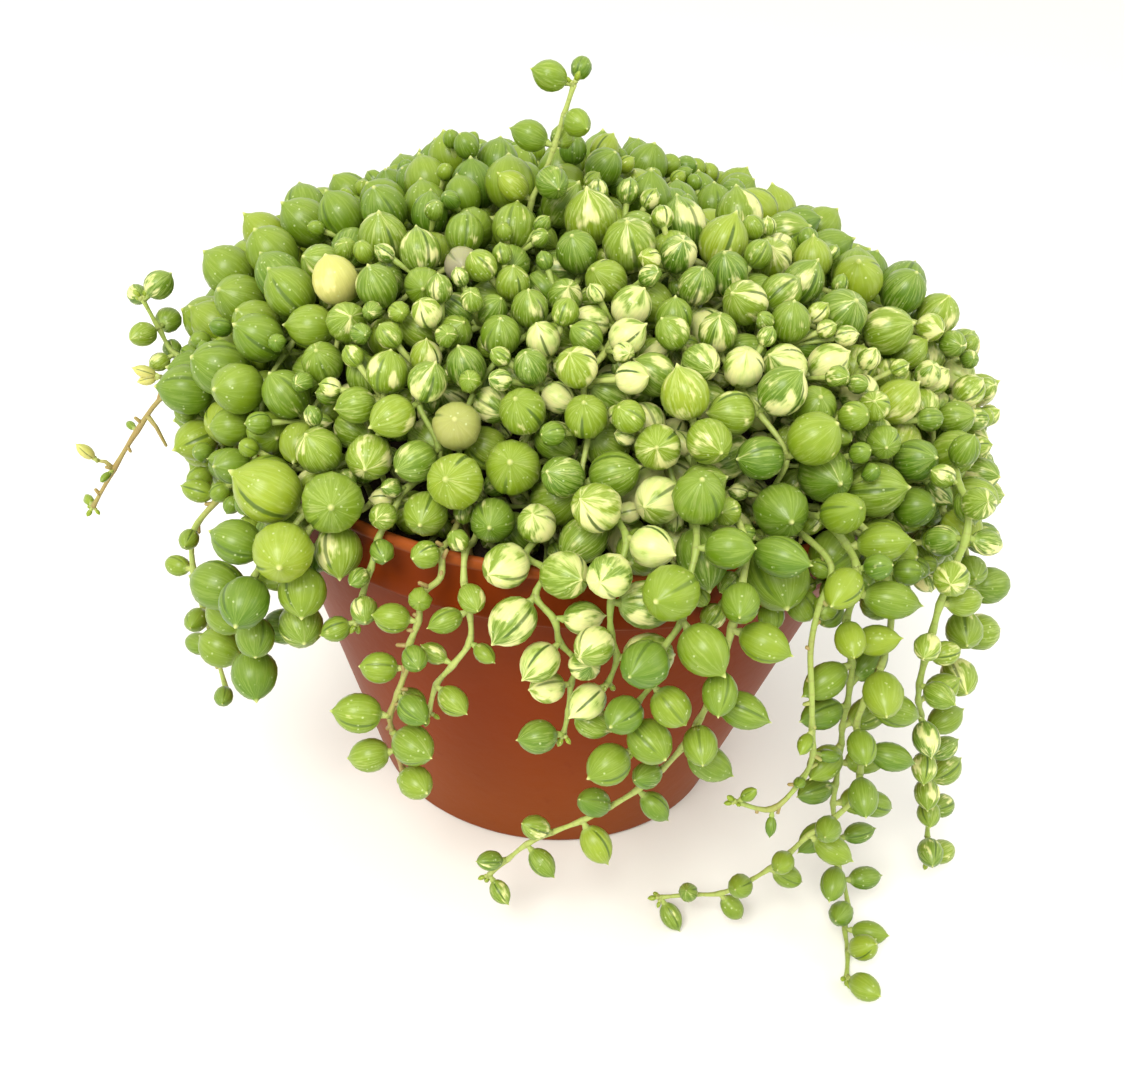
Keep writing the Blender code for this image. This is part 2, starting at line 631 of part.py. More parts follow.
def strand_mesh(points, leaves, thick, width):
    """One closed body: a three-sided stem with a bead leaf on each point that has one.

    leaves maps a point's index to its leaves' centres and radii."""
    vertices, faces = [], []
    last = len(points) - 1
    spin = np.array([0.0, 0.0, 1.0])
    turn = 0.0
    previous = None
    for index, point in enumerate(points):
        ahead = points[min(index + 1, last)] - points[max(index - 1, 0)]
        ahead = ahead / math.sqrt(float((ahead**2).sum()))
        if previous is None and abs(ahead[2]) > 0.9:
            spin = np.array([1.0, 0.0, 0.0])
        spin = spin - ahead * float((spin * ahead).sum())
        spin = spin / math.sqrt(float((spin**2).sum()))
        other = np.cross(ahead, spin)
        offsets, facing = (0.0,), []
        if index in leaves:
            for centre, _ in reversed(leaves[index]):
                stalk = centre - point
                towards = math.atan2(float((stalk * other).sum()), float((stalk * spin).sum()))
                facing.append(towards - math.pi / 3)
            turn += math.remainder(facing[-1] - turn, math.tau / 3)
            offsets = (-SOCKET, SOCKET)
            if index == last:
                offsets = (-2 * SOCKET, 0.0)
        for place, offset in enumerate(offsets):
            ring = []
            for corner in range(3):
                angle = turn + corner * math.tau / 3
                side = spin * math.cos(angle) + other * math.sin(angle)
                vertices.append(point + ahead * offset + side * thick[index])
                ring.append(len(vertices) - 1)
            if previous is None:
                faces.append(tuple(reversed(ring)))
            else:
                sides = {}
                if place == 1:
                    sides = leaf_sides(facing[::-1], turn, leaves[index])
                for corner in range(3):
                    following = (corner + 1) % 3
                    if corner in sides:
                        hole = (previous[corner], previous[following], ring[following], ring[corner])
                        grow_leaf(vertices, faces, hole, point, sides[corner], width)
                        continue
                    faces.append((previous[corner], previous[following], ring[following]))
                    faces.append((previous[corner], ring[following], ring[corner]))
            previous = ring
    faces.append(tuple(previous))
    return vertices, faces


def grow_leaf(vertices, faces, hole, point, leaf, width):
    """A bead on a stalk that closes the four-cornered hole in the stem."""
    centre, radius = leaf
    axis = centre - point
    axis = axis / math.sqrt(float((axis**2).sum()))
    corners = [vertices[corner] for corner in hole]
    first = corners[0] - corners[1]
    first = first - axis * float((first * axis).sum())
    first = first / math.sqrt(float((first**2).sum()))
    second = np.cross(axis, first)
    facing = np.cross(corners[2] - corners[0], corners[3] - corners[1])
    if float((facing * axis).sum()) < 0.0:
        hole = tuple(reversed(hole))
    rows = [list(hole)]
    for height, across, shift in ((-0.55, 0.835, 0.0), (0.42, 0.905, 0.5)):
        row = []
        for side in range(LEAF_SIDES):
            angle = (side + shift) * math.tau / LEAF_SIDES
            around = first * math.cos(angle) + second * math.sin(angle)
            vertices.append(centre + axis * radius * height + around * radius * across * width)
            row.append(len(vertices) - 1)
        bridge(vertices, faces, rows[-1], row)
        rows.append(row)
    vertices.append(centre + axis * radius)
    top = rows[-1]
    for side in range(LEAF_SIDES):
        faces.append((top[side], top[(side + 1) % LEAF_SIDES], len(vertices) - 1))


def material(name, colour, roughness):
    made = bpy.data.materials.new(name)
    made.use_nodes = True
    shader = made.node_tree.nodes["Principled BSDF"]
    shader.inputs["Base Color"].default_value = (*colour, 1.0)
    shader.inputs["Roughness"].default_value = roughness
    made.diffuse_color = (*colour, 1.0)
    return made


def add_body(name, vertices, faces, look, smooth):
    mesh = bpy.data.meshes.new(name)
    mesh.from_pydata([tuple(float(value) * MM for value in vertex) for vertex in vertices], [], faces)
    shaper = bmesh.new()
    shaper.from_mesh(mesh)
    bmesh.ops.recalc_face_normals(shaper, faces=shaper.faces)
    if shaper.calc_volume(signed=True) < 0.0:
        bmesh.ops.reverse_faces(shaper, faces=shaper.faces)
    shaper.to_mesh(mesh)
    shaper.free()
    mesh.materials.append(look)
    body = bpy.data.objects.new(name, mesh)
    bpy.context.scene.collection.objects.link(body)
    mesh.shade_smooth()
    mesh.set_sharp_from_angle(angle=math.radians(smooth))
    return body


def turned(name, rings, sides, look):
    """A solid of revolution from a half outline that starts and ends on the axis."""
    vertices, faces, rows = [], [], []
    for radius, height in rings:
        if radius == 0.0:
            vertices.append((0.0, 0.0, height))
            rows.append([len(vertices) - 1])
            continue
        row = []
        for side in range(sides):
            angle = side * math.tau / sides
            vertices.append((radius * math.cos(angle), radius * math.sin(angle), height))
            row.append(len(vertices) - 1)
        rows.append(row)
    for low, high in zip(rows, rows[1:]):
        for side in range(sides):
            following = (side + 1) % sides
            if len(low) == 1:
                faces.append((low[0], high[side], high[following]))
            elif len(high) == 1:
                faces.append((low[side], low[following], high[0]))
            else:
                faces.append((low[side], low[following], high[following], high[side]))
    return add_body(name, vertices, faces, look, 35.0)


def build():
    for old in list(bpy.data.objects):
        bpy.data.objects.remove(old, do_unlink=True)
    terracotta = material("terracotta_plastic", (0.42, 0.12, 0.035), 0.38)
    earth = material("potting_soil", (0.035, 0.022, 0.014), 0.95)
    green = material("leaf_green", (0.20, 0.34, 0.05), 0.35)
    pale = material("leaf_variegated", (0.50, 0.58, 0.22), 0.35)
    turned("pot", pot_rings(), POT_SIDES, terracotta)
    turned("soil", soil_rings(), SOIL_SIDES, earth)
    layout = Layout(mound_plan() + trail_plan())
    layout.settle()
    layout.fit()
    thick = stem_thickness(layout)
    for which, strand in enumerate(layout.strands):
        own = np.nonzero(layout.owner == which)[0]
        leaves = {}
        for row in np.nonzero(layout.owner[layout.leaf_at] == which)[0]:
            place = int(layout.leaf_at[row] - own[0])
            leaves.setdefault(place, []).append((layout.leaves[row], float(layout.fitted[row])))
        vertices, faces = strand_mesh(layout.points[own], leaves, thick[own], strand["width"])
        middle = layout.points[own].mean(axis=0)
        speckled = strand["free"] or math.hypot(middle[0] + 8.0, middle[1] + 20.0) < 0.45 * RIM_RADIUS
        add_body(strand["name"], vertices, faces, pale if speckled else green, 80.0)


build()
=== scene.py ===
"""The looks of a potted string of pearls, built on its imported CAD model.

Every CAD strand is replaced by one detailed strand in the same place: round leaves with a point and a
window line, stalks, a knobbly stem and a growing tip, with small leaves where the mound has room for
them. The strands' layout is the same as in the CAD model, worked out again here from the same sizes.
Layout lengths are in millimetres and meshes are in metres."""
import math

import bpy
import numpy as np
from mathutils import Matrix, Vector


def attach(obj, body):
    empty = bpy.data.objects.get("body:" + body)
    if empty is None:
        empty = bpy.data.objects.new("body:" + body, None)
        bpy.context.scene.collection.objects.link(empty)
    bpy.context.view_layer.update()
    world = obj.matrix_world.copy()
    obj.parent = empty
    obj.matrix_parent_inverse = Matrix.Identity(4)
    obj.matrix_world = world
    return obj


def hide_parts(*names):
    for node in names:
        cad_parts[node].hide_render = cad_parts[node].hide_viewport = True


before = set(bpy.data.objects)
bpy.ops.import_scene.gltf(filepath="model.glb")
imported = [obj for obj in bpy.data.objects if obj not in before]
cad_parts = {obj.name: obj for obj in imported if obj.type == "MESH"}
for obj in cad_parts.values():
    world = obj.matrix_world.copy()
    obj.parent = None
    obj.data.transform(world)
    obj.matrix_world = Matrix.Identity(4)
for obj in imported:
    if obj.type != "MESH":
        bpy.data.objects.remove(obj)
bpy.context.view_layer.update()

MM = 0.001

# The pot
RIM_RADIUS = 70.0
POT_HEIGHT = 91.0
BASE_SHARE = 0.604  # base radius as a share of the rim radius
COLLAR_DEPTH = 12.6
COLLAR_STEP = 4.6  # how far the wall sits in from the collar
COLLAR_DRAFT = 0.7
LIP_DEPTH = 2.2
LIP_PROUD = 0.5
EDGE_ROUND = 0.5
WALL = 1.2
FLOOR_THICKNESS = 1.6
FOOT_CHAMFER = 1.5
POT_SIDES = 160

# The soil
SOIL_BELOW_RIM = 9.0
SOIL_CROWN = 4.0
SOIL_SIDES = 110
SOIL_RINGS = 26
SOIL_WOBBLE = 0.7
SOIL_SUNK = 0.4  # leaves room for the crumbs
CLEARANCE = 0.35  # between any two bodies

# The mound of leaves
MOUND_RISE = 48.0  # leaf centres above the rim at the axis
MOUND_LEFT = 1.15  # reach of the leaf centres to each side, in rim radii
MOUND_RIGHT = 1.22
MOUND_BACK = 1.14
MOUND_FRONT = 0.95
MOUND_STRANDS = 40
SKIRT_LEFT = 16.0  # how far the mound hangs below the rim on each side
SKIRT_RIGHT = 25.0
SKIRT_BACK = 8.0
STEM_DEPTH = 8.5  # how far the stems run below the leaf centres
ROOT_SHARE = 0.62
GOLDEN_ANGLE = math.pi * (3.0 - math.sqrt(5.0))

# Leaves and stems
LEAF_RADIUS = 4.9
LEAF_SMALLEST = 1.3
STALK = 1.2  # from the stem's middle line to the leaf, past the leaf's own radius
STEM_RADIUS = 0.8
STEM_GUARD = 1.95  # keeps two stems from crossing
PITCH = 1.56  # leaf spacing along a stem in leaf radii
TWIN_BELOW = 4.7  # leaves smaller than this grow two to a point, further apart
TWIN_PITCH = 2.12

SETTLE_STEPS = 260
CALM_STEPS = 70
LIST_EVERY = 6
PRECISION = 7
TINY = 1e-6
FAR = 1e9

# Patches of leaf size over the mound: x, y and spread in rim radii, leaf radius in millimetres
SIZE_PATCHES = (
    (-0.28, -0.58, 0.26, 3.2),
    (0.05, -0.58, 0.25, 3.4),
    (-0.50, -0.92, 0.15, 3.9),
    (0.32, -0.46, 0.22, 3.7),
    (0.82, -0.42, 0.20, 3.5),
    (1.05, -0.22, 0.18, 3.4),
    (0.10, -0.86, 0.16, 4.6),
    (0.55, -0.80, 0.18, 5.4),
    (-0.20, -0.90, 0.18, 5.1),
    (0.95, -0.66, 0.18, 5.0),
    (-0.88, -0.45, 0.34, 5.4),
)

# Where the mound stands out or sinks: x, y and spread in rim radii, then how far in millimetres
MOUND_LUMPS = (
    (-0.38, 0.12, 0.11, 5.0),
    (-0.58, 0.12, 0.12, -3.5),
    (0.00, 0.10, 0.12, 4.0),
    (0.32, 0.14, 0.22, -6.0),
    (0.58, 0.15, 0.13, 5.5),
    (1.00, 0.36, 0.34, -14.0),
    (-0.80, 0.10, 0.13, 3.0),
    (-0.20, 0.08, 0.08, -3.0),
    (-0.10, -0.42, 0.20, -3.0),
    (0.20, -0.82, 0.22, 2.5),
    (0.60, -0.75, 0.20, 3.0),
    (0.30, 0.75, 0.20, 3.0),
    (-0.50, 0.70, 0.20, 3.0),
    (-0.05, 0.90, 0.15, -3.0),
    (1.00, -0.22, 0.16, 3.0),
)

# Strands that leave the mound. Routes are x, y, z in millimetres for a pot of the sizes above, from the rim
# outwards. Then leaf spacing, first and last leaf radius, width over length, and bare length at the start.
TRAILS = (
    ("trail_left_cluster",
     ((-45, -60, 94), (-50, -66, 88), (-54, -64, 80), (-53, -62, 70), (-58, -58, 57)),
     5.2, 5.4, 4.2, 0.95, 0.0),
    ("trail_left_inner", ((-40, -62, 93), (-45, -64, 85), (-47, -62, 75), (-46, -62, 68)),
     5.6, 4.4, 3.6, 0.95, 0.0),
    ("trail_front_left_thin", ((-30, -66, 96), (-35, -68, 88), (-36, -68, 81), (-35, -68, 74)),
     5.0, 2.6, 2.4, 0.9, 0.0),
    ("trail_front_left",
     ((-20, -68, 95), (-22, -73, 84), (-24, -75, 74), (-25, -76, 67), (-27, -77, 58), (-25, -77, 50)),
     4.6, 2.6, 4.1, 0.85, 12.0),
    ("trail_front_left_short",
     ((-13, -68, 95), (-16, -74, 86), (-16, -75, 78), (-19, -75, 71), (-21, -76, 64)),
     5.6, 2.6, 2.9, 0.75, 4.0),
    ("trail_front",
     ((-3, -67, 97), (-3, -75, 92), (1, -78, 85), (5, -79, 78), (4, -78, 71), (3, -78, 63)),
     5.0, 4.2, 3.4, 0.9, 0.0),
    ("trail_front_spill", ((8, -66, 101), (10, -76, 99), (9, -80, 90), (9, -80, 82), (8, -79, 75)),
     5.6, 4.6, 3.8, 0.9, 0.0),
    ("trail_front_right",
     ((20, -66, 106), (20, -77, 101), (19, -81, 92), (17, -81, 81), (15, -81, 73), (15, -80, 62)),
     6.0, 4.8, 3.8, 0.9, 0.0),
    ("trail_front_long",
     ((26, -66, 103), (28, -79, 96), (28, -82, 84), (27, -80, 74), (25, -77, 62), (19, -75, 50),
      (10, -74, 40), (-1, -72, 31), (-9, -69, 17)),
     7.0, 5.2, 3.1, 0.74, 12.0),
    ("trail_right_long",
     ((44, -60, 104), (48, -70, 98), (51, -68, 80), (54, -64, 63), (57, -60, 44), (59, -58, 27),
      (65, -58, 12), (68, -61, 3), (66, -74, 3)),
     5.8, 5.0, 3.6, 0.7, 4.0),
    ("trail_right_branch",
     ((50, -56, 100), (58, -64, 90), (58, -67, 66), (60, -65, 44), (53, -66, 31), (45, -64, 17),
      (36, -63, 9), (27, -62, 5)),
     6.4, 4.6, 3.2, 0.7, 36.0),
    ("trail_right_tendril",
     ((40, -60, 99), (44, -72, 92), (47, -72, 70), (50, -69, 52), (43, -72, 44), (36, -74, 47)),
     8.0, 2.6, 2.0, 0.6, 42.0),
    ("trail_far_right",
     ((58, -42, 106), (68, -50, 106), (68, -62, 103), (65, -66, 88), (66, -64, 70), (75, -54, 46),
      (83, -44, 24), (86, -46, 9)),
     6.2, 3.4, 3.3, 0.8, 10.0),
    ("trail_far_right_short", ((64, -30, 102), (73, -42, 100), (75, -50, 84), (76, -50, 66)),
     5.4, 4.6, 3.6, 0.85, 0.0),
    ("trail_left_thin",
     ((-58, -30, 96), (-66, -42, 86), (-72, -45, 74), (-70, -46, 62), (-66, -48, 42)),
     8.6, 2.8, 3.0, 0.7, 10.0),
    ("shoot_left_up", ((-56, -4, 100), (-76, -8, 98), (-84, -9, 97), (-89, -9, 108)),
     6.5, 2.4, 3.2, 0.75, 20.0),
    ("shoot_left_twig",
     ((-54, -12, 98), (-78, -16, 92), (-90, -16, 84), (-96, -16, 74), (-103, -16, 62)),
     11.0, 1.6, 2.2, 0.55, 36.0),
    ("shoot_top", ((-9, -8, 112), (-9, -12, 140), (-7, -12, 150), (-5, -12, 158)),
     5.4, 3.2, 3.6, 0.85, 22.0),
)


def waver(number):
    """A repeatable value from 0 to 1 for a whole number."""
    value = math.sin(number * 12.9898 + 4.1414) * 43758.5453
    return value - math.floor(value)


def soil_height(radius):
    return POT_HEIGHT - SOIL_BELOW_RIM + SOIL_CROWN * (1 - min(radius / RIM_RADIUS, 1.0) ** 2)


def reach_at(cosine, sine):
    """How far the mound's leaf centres reach in a direction round the axis."""
    side = MOUND_LEFT + (MOUND_RIGHT - MOUND_LEFT) * (1 + cosine) * 0.5
    front, back = np.maximum(0.0, -sine) ** 3, np.maximum(0.0, sine) ** 2
    return RIM_RADIUS * (side + (MOUND_FRONT - side) * front + (MOUND_BACK - side) * back)


def skirt_at(angle):
    """How far the mound hangs below the rim at this angle round the axis."""
    side = SKIRT_LEFT + (SKIRT_RIGHT - SKIRT_LEFT) * (1 + math.cos(angle)) * 0.5
    front = max(0.0, -math.sin(angle))
    back = max(0.0, math.sin(angle)) ** 2
    return (side + (SKIRT_BACK - side) * back) * max(0.0, 1 - 1.5 * front**2)


def patch_away(x, y, patch_x, patch_y, spread):
    """How far a place in plan is from a patch's middle, squared, in spreads."""
    return ((x / RIM_RADIUS - patch_x) ** 2 + (y / RIM_RADIUS - patch_y) ** 2) / spread**2


def leaf_size(x, y):
    """The usual leaf radius at this place in plan."""
    size = LEAF_RADIUS
    for *patch, radius in SIZE_PATCHES:
        size += (radius - size) * math.exp(-patch_away(x, y, *patch))
    return size


def swell(x, y):
    """The mound's lumpy size at this place in plan, as a share of the smooth mound's."""
    total = 1.0
    for *patch, height in MOUND_LUMPS:
        total = total + height / MOUND_RISE * np.exp(-patch_away(x, y, *patch))
    return total


def on_mound(polar, angle, depth):
    """A point on the mound, depth below its leaf centres. Past a quarter turn it is on the skirt."""
    reach = float(reach_at(math.cos(angle), math.sin(angle))) - depth
    rise = MOUND_RISE - depth
    if polar <= math.pi / 2:
        radius, height = reach * math.sin(polar), rise * math.cos(polar)
    else:
        radius, height = reach, -(polar - math.pi / 2) * RIM_RADIUS * 0.5
    return (radius * math.cos(angle), radius * math.sin(angle), POT_HEIGHT + height)


def warped(point):
    """Bends the strands' routes sideways, all in the same way, so that none cross."""
    x, y, z = point
    pace = RIM_RADIUS * 0.36
    sway = RIM_RADIUS * 0.10
    return (x + sway * math.sin(y / pace + 1.0), y + sway * math.sin(x / pace + 3.6), z)


def mound_plan():
    """The strands of the mound, as routes with a leaf at every point that has a radius."""
    strands = []
    for index in range(MOUND_STRANDS):
        polar = math.asin(0.955 * (index + 0.6) / MOUND_STRANDS)
        angle = index * GOLDEN_ANGLE + 0.4
        reach = float(reach_at(math.cos(angle), math.sin(angle)))
        radius = min(ROOT_SHARE * reach * math.sin(polar), RIM_RADIUS - 3 * COLLAR_STEP)
        root = (radius * math.cos(angle), radius * math.sin(angle), soil_height(radius) + CLEARANCE)
        start = warped(on_mound(polar, angle, STEM_DEPTH))
        climb = max(1, round(math.dist(root, start) / (PITCH * LEAF_RADIUS)))
        route = [tuple(a + (b - a) * step / climb for a, b in zip(root, start)) for step in range(climb)]
        leaves = [0.0] * climb
        end = math.pi / 2 + skirt_at(angle) / (RIM_RADIUS * 0.5)
        while polar < end:
            point = on_mound(polar, angle, STEM_DEPTH)
            size = leaf_size(point[0], point[1]) * (0.9 + 0.2 * waver(index * 57 + len(route)))
            route.append(warped(point))
            leaves.append(size)
            along = on_mound(polar + 0.01, angle, STEM_DEPTH)
            pitch = TWIN_PITCH if size < TWIN_BELOW else PITCH
            polar += 0.01 * pitch * size / math.dist(point, along)
        if skirt_at(angle) > LEAF_RADIUS:
            leaves[-1] *= 0.72
            leaves[-2] *= 0.88
        strands.append({"name": f"mound_{index + 1:02d}", "route": route, "leaves": leaves, "free": False,
                        "width": 0.97, "seed": index * 57})
    return strands


def trail_plan():
    """The strands that leave the mound, with leaves at their own spacing."""
    strands = []
    across, tall = RIM_RADIUS / 70.0, POT_HEIGHT / 91.0
    for number, (name, points, spacing, first, last, width, bare) in enumerate(TRAILS):
        points = [(x * across, y * across, z * tall) for x, y, z in points]
        x, y, _ = points[0]
        shrink = min(1.0, (RIM_RADIUS - 2.2 * COLLAR_STEP) / max(math.hypot(x, y), 1.0))
        root = (x * shrink * 0.97, y * shrink * 0.97, soil_height(math.hypot(x, y) * shrink) + CLEARANCE)
        inside = (x * shrink, y * shrink, POT_HEIGHT + 3.0)
        points = [root, inside] + points if points[0][2] > POT_HEIGHT + 1.0 else [root] + points
        lengths = [math.dist(a, b) for a, b in zip(points, points[1:])]
        total = sum(lengths)
        count = max(4, round(total / spacing))
        lead = math.dist(points[0], points[1]) + (lengths[1] if len(points) > 2 else 0.0) * 0.5 + bare
        route, leaves = [], []
        for step in range(count + 1):
            at = total * step / count
            piece = 0
            gone = at
            while piece < len(lengths) - 1 and gone > lengths[piece]:
                gone -= lengths[piece]
                piece += 1
            share = min(1.0, gone / lengths[piece])
            route.append(tuple(a + (b - a) * share for a, b in zip(points[piece], points[piece + 1])))
            if at < lead:
                leaves.append(0.0)
            else:
                done = (at - lead) / max(total - lead, 1.0)
                mixed = first + (last - first) * done
                leaves.append(mixed * (0.84 + 0.32 * waver(900 + number * 31 + step)))
        strands.append({"name": name, "route": route, "leaves": leaves, "free": True, "width": width,
                        "seed": 4000 + number * 57})
    return strands


def pot_distance(radius, height):
    """Distance from the pot and soil, negative inside, and its outward direction in the half plane.

    The corner between soil and rim counts as filled, so that stems near it pass over the rim."""
    collar_bottom = POT_HEIGHT - COLLAR_DEPTH
    soil_edge = POT_HEIGHT - SOIL_BELOW_RIM
    wide = RIM_RADIUS - WALL - COLLAR_DRAFT
    base = RIM_RADIUS * BASE_SHARE
    outline = (
        (0.0, soil_edge + SOIL_CROWN),
        (wide * 0.5, soil_edge + SOIL_CROWN * 0.75),
        (wide * 0.86, soil_edge + SOIL_CROWN * 0.26),
        (wide, POT_HEIGHT),
        (RIM_RADIUS, POT_HEIGHT),
        (RIM_RADIUS, collar_bottom),
        (RIM_RADIUS - COLLAR_STEP, collar_bottom - EDGE_ROUND),
        (base, 0.0),
        (0.0, 0.0),
    )
    nearest = np.full(radius.shape, FAR)
    out_r, out_z = np.zeros(radius.shape), np.zeros(radius.shape)
    inside = np.zeros(radius.shape, dtype=bool)
    for (r0, z0), (r1, z1) in zip(outline, outline[1:]):
        run_r, run_z = r1 - r0, z1 - z0
        share = np.clip(((radius - r0) * run_r + (height - z0) * run_z) / (run_r**2 + run_z**2), 0.0, 1.0)
        off_r, off_z = radius - (r0 + share * run_r), height - (z0 + share * run_z)
        away = np.sqrt(off_r**2 + off_z**2)
        closer = away < nearest
        nearest = np.where(closer, away, nearest)
        out_r, out_z = np.where(closer, off_r, out_r), np.where(closer, off_z, out_z)
        if z0 != z1:
            crosses = (height < z0) != (height < z1)
            inside ^= crosses & (radius < r0 + (height - z0) * run_r / run_z)
    sign = np.where(inside, -1.0, 1.0)
    scale = sign / np.maximum(nearest, TINY)
    return sign * nearest, out_r * scale, out_z * scale


def clear_of_pot(at, thick):
    """How far balls of this radius have to move to leave the pot, the soil and the ground."""
    radius = np.sqrt(at[:, 0] ** 2 + at[:, 1] ** 2)
    away, out_r, out_z = pot_distance(radius, at[:, 2])
    lift = np.maximum(thick - away, 0.0)
    moves = np.zeros(at.shape)
    for axis in range(2):
        moves[:, axis] = lift * out_r * at[:, axis] / np.maximum(radius, TINY)
    moves[:, 2] = lift * out_z + np.maximum(thick - at[:, 2], 0.0)
    return moves


def length_of(vectors):
    return np.sqrt(vectors[:, 0] ** 2 + vectors[:, 1] ** 2 + vectors[:, 2] ** 2)


def size_of(vector):
    return math.sqrt(float((vector**2).sum()))


def gathered(rows, moves, count):
    """The moves summed over the points that the rows name."""
    return np.stack([np.bincount(rows, moves[:, axis], count) for axis in range(3)], axis=1)


def unit(vectors):
    return vectors / np.maximum(length_of(vectors), 1e-9)[:, None]


class Layout:
    """All strands' stem points and leaf centres, and what keeps them apart."""

    def __init__(self, strands):
        self.strands = strands
        points, owner, order, leaf_at, sizes, side = [], [], [], [], [], []
        for which, strand in enumerate(strands):
            route = np.array(strand["route"])
            ahead = np.vstack([route[1:] - route[:-1], route[-1:] - route[-2:-1]])
            for step, size in enumerate(strand["leaves"]):
                twins = 2 if size < TWIN_BELOW and not strand["free"] else 1
                for twin in range(twins if size > 0.0 else 0):
                    leaf_at.append(len(points))
                    sizes.append(max(size * (1.0 - 0.1 * twin), LEAF_SMALLEST))
                    out = np.array([route[step][0], route[step][1], 0.0])
                    if not strand["free"]:
                        out[2] = (route[step][2] - POT_HEIGHT + 0.15 * RIM_RADIUS) * 2.0
                    out = out / max(size_of(out), TINY)
                    across = np.cross(ahead[step], out)
                    across = across / max(size_of(across), TINY)
                    turn = waver(strand["seed"] + step)
                    lean = (1.0 if len(sizes) % 2 else -1.0) * (0.65 + 0.5 * turn)
                    side.append(out * (0.75 if not strand["free"] else 0.45) + across * lean)
                points.append(route[step])
                owner.append(which)
                order.append(2 * step)
        self.points = np.array(points)
        self.home = self.points.copy()
        self.owner, self.order = np.array(owner), np.array(order)
        self.leaf_at, self.sizes = np.array(leaf_at), np.array(sizes)
        self.side = unit(np.array(side))
        self.leaves = self.points[self.leaf_at] + self.side * (self.sizes + STALK)[:, None]
        same = self.owner[1:] == self.owner[:-1]
        self.first = np.nonzero(same)[0]
        self.rest = length_of(self.points[self.first + 1] - self.points[self.first])
        self.free = np.array([strands[which]["free"] for which in self.owner])
        self.pinned = self.order == 0
        self.depth = np.array([(waver(7.3 * number) - 0.6) * 5.0 for number in range(len(self.leaves))])
        self.count = len(self.points)
        self.middles = len(self.first)

    def balls(self):
        middles = (self.points[self.first] + self.points[self.first + 1]) * 0.5
        return np.vstack([self.points, middles, self.leaves])

    def find_pairs(self):
        """Balls that may meet, and how far apart their middles have to stay."""
        at = self.balls()
        stem = self.count + self.middles
        owner = np.concatenate([self.owner, self.owner[self.first], self.owner[self.leaf_at]])
        order = np.concatenate([self.order, self.order[self.first] + 1, self.order[self.leaf_at]])
        guard = np.concatenate([np.full(stem, STEM_GUARD), self.sizes + 0.5 * CLEARANCE])
        slack = 3.0
        left, right = [], []
        for start in range(0, len(at), 256):
            block = at[start:start + 256]
            gap2 = sum((block[:, None, axis] - at[None, :, axis]) ** 2 for axis in range(3))
            limit = guard[start:start + 256][:, None] + guard[None, :] + slack
            rows, columns = np.nonzero(gap2 < limit**2)
            keep = rows + start < columns
            left.append(rows[keep] + start)
            right.append(columns[keep])
        left, right = np.concatenate(left), np.concatenate(right)
        need = guard[left] + guard[right]
        same = owner[left] == owner[right]
        steps = np.abs(order[left] - order[right])
        both_stem = (left < stem) & (right < stem)
        one_leaf = (left < stem) & (right >= stem)
        keep = ~(same & both_stem & (steps <= 3)) & ~(same & one_leaf & (steps == 0))
        close = same & one_leaf & (steps <= 3)
        need = np.where(close, guard[right] + STEM_RADIUS + CLEARANCE, need)
        return left[keep], right[keep], need[keep]

    def share_out(self, moves):
        """Turns the balls' moves into moves of stem points and leaves."""
        stem = self.count + self.middles
        points = moves[:self.count].copy()
        middle = moves[self.count:stem] * 0.8
        points += gathered(self.first, middle, self.count)
        points += gathered(self.first + 1, middle, self.count)
        return points, moves[stem:]

    def pulls(self, strength):
        """Draws the mound's leaves and stems to its surface, and free strands to their routes."""
        axis = np.array([0.0, 0.0, POT_HEIGHT])
        of_leaf = self.free[self.leaf_at]
        for at, depth, free in ((self.points, STEM_DEPTH, self.free), (self.leaves, self.depth, of_leaf)):
            off = at - axis
            flat = np.maximum(np.sqrt(off[:, 0] ** 2 + off[:, 1] ** 2), TINY)
            reach = reach_at(off[:, 0] / flat, off[:, 1] / flat)
            above = np.maximum(off[:, 2], 0.0)
            level = np.sqrt(flat**2 / (reach - depth) ** 2 + above**2 / (MOUND_RISE - depth) ** 2)
            level = level / swell(at[:, 0], at[:, 1])
            move = off * (1.0 / np.maximum(level, 0.2) - 1.0)[:, None]
            move[:, 2] = np.where(off[:, 2] > 0.0, move[:, 2], 0.0)
            wanted = ~free
            if at is self.points:
                wanted = wanted & self.climbed
            at += np.where(wanted[:, None], move, 0.0) * strength
        self.points += np.where(self.free[:, None], self.home - self.points, 0.0) * strength
        spot = self.points[self.leaf_at] + self.side * (self.sizes + STALK)[:, None]
        share = np.where(self.free[self.leaf_at], strength, 0.2 * strength)
        self.leaves += (spot - self.leaves) * share[:, None]

    def settle(self):
        has_leaf = np.zeros(self.count, dtype=bool)
        has_leaf[self.leaf_at] = True
        self.climbed = has_leaf
        pairs = None
        for step in range(SETTLE_STEPS + CALM_STEPS):
            if step % LIST_EVERY == 0:
                pairs = self.find_pairs()
            if step < SETTLE_STEPS:
                self.pulls(0.10 if step < SETTLE_STEPS * 0.6 else 0.04)
            self.keep_lengths()
            self.keep_apart(pairs)
            self.points[self.pinned] = self.home[self.pinned]
            self.points, self.leaves = np.round(self.points, PRECISION), np.round(self.leaves, PRECISION)

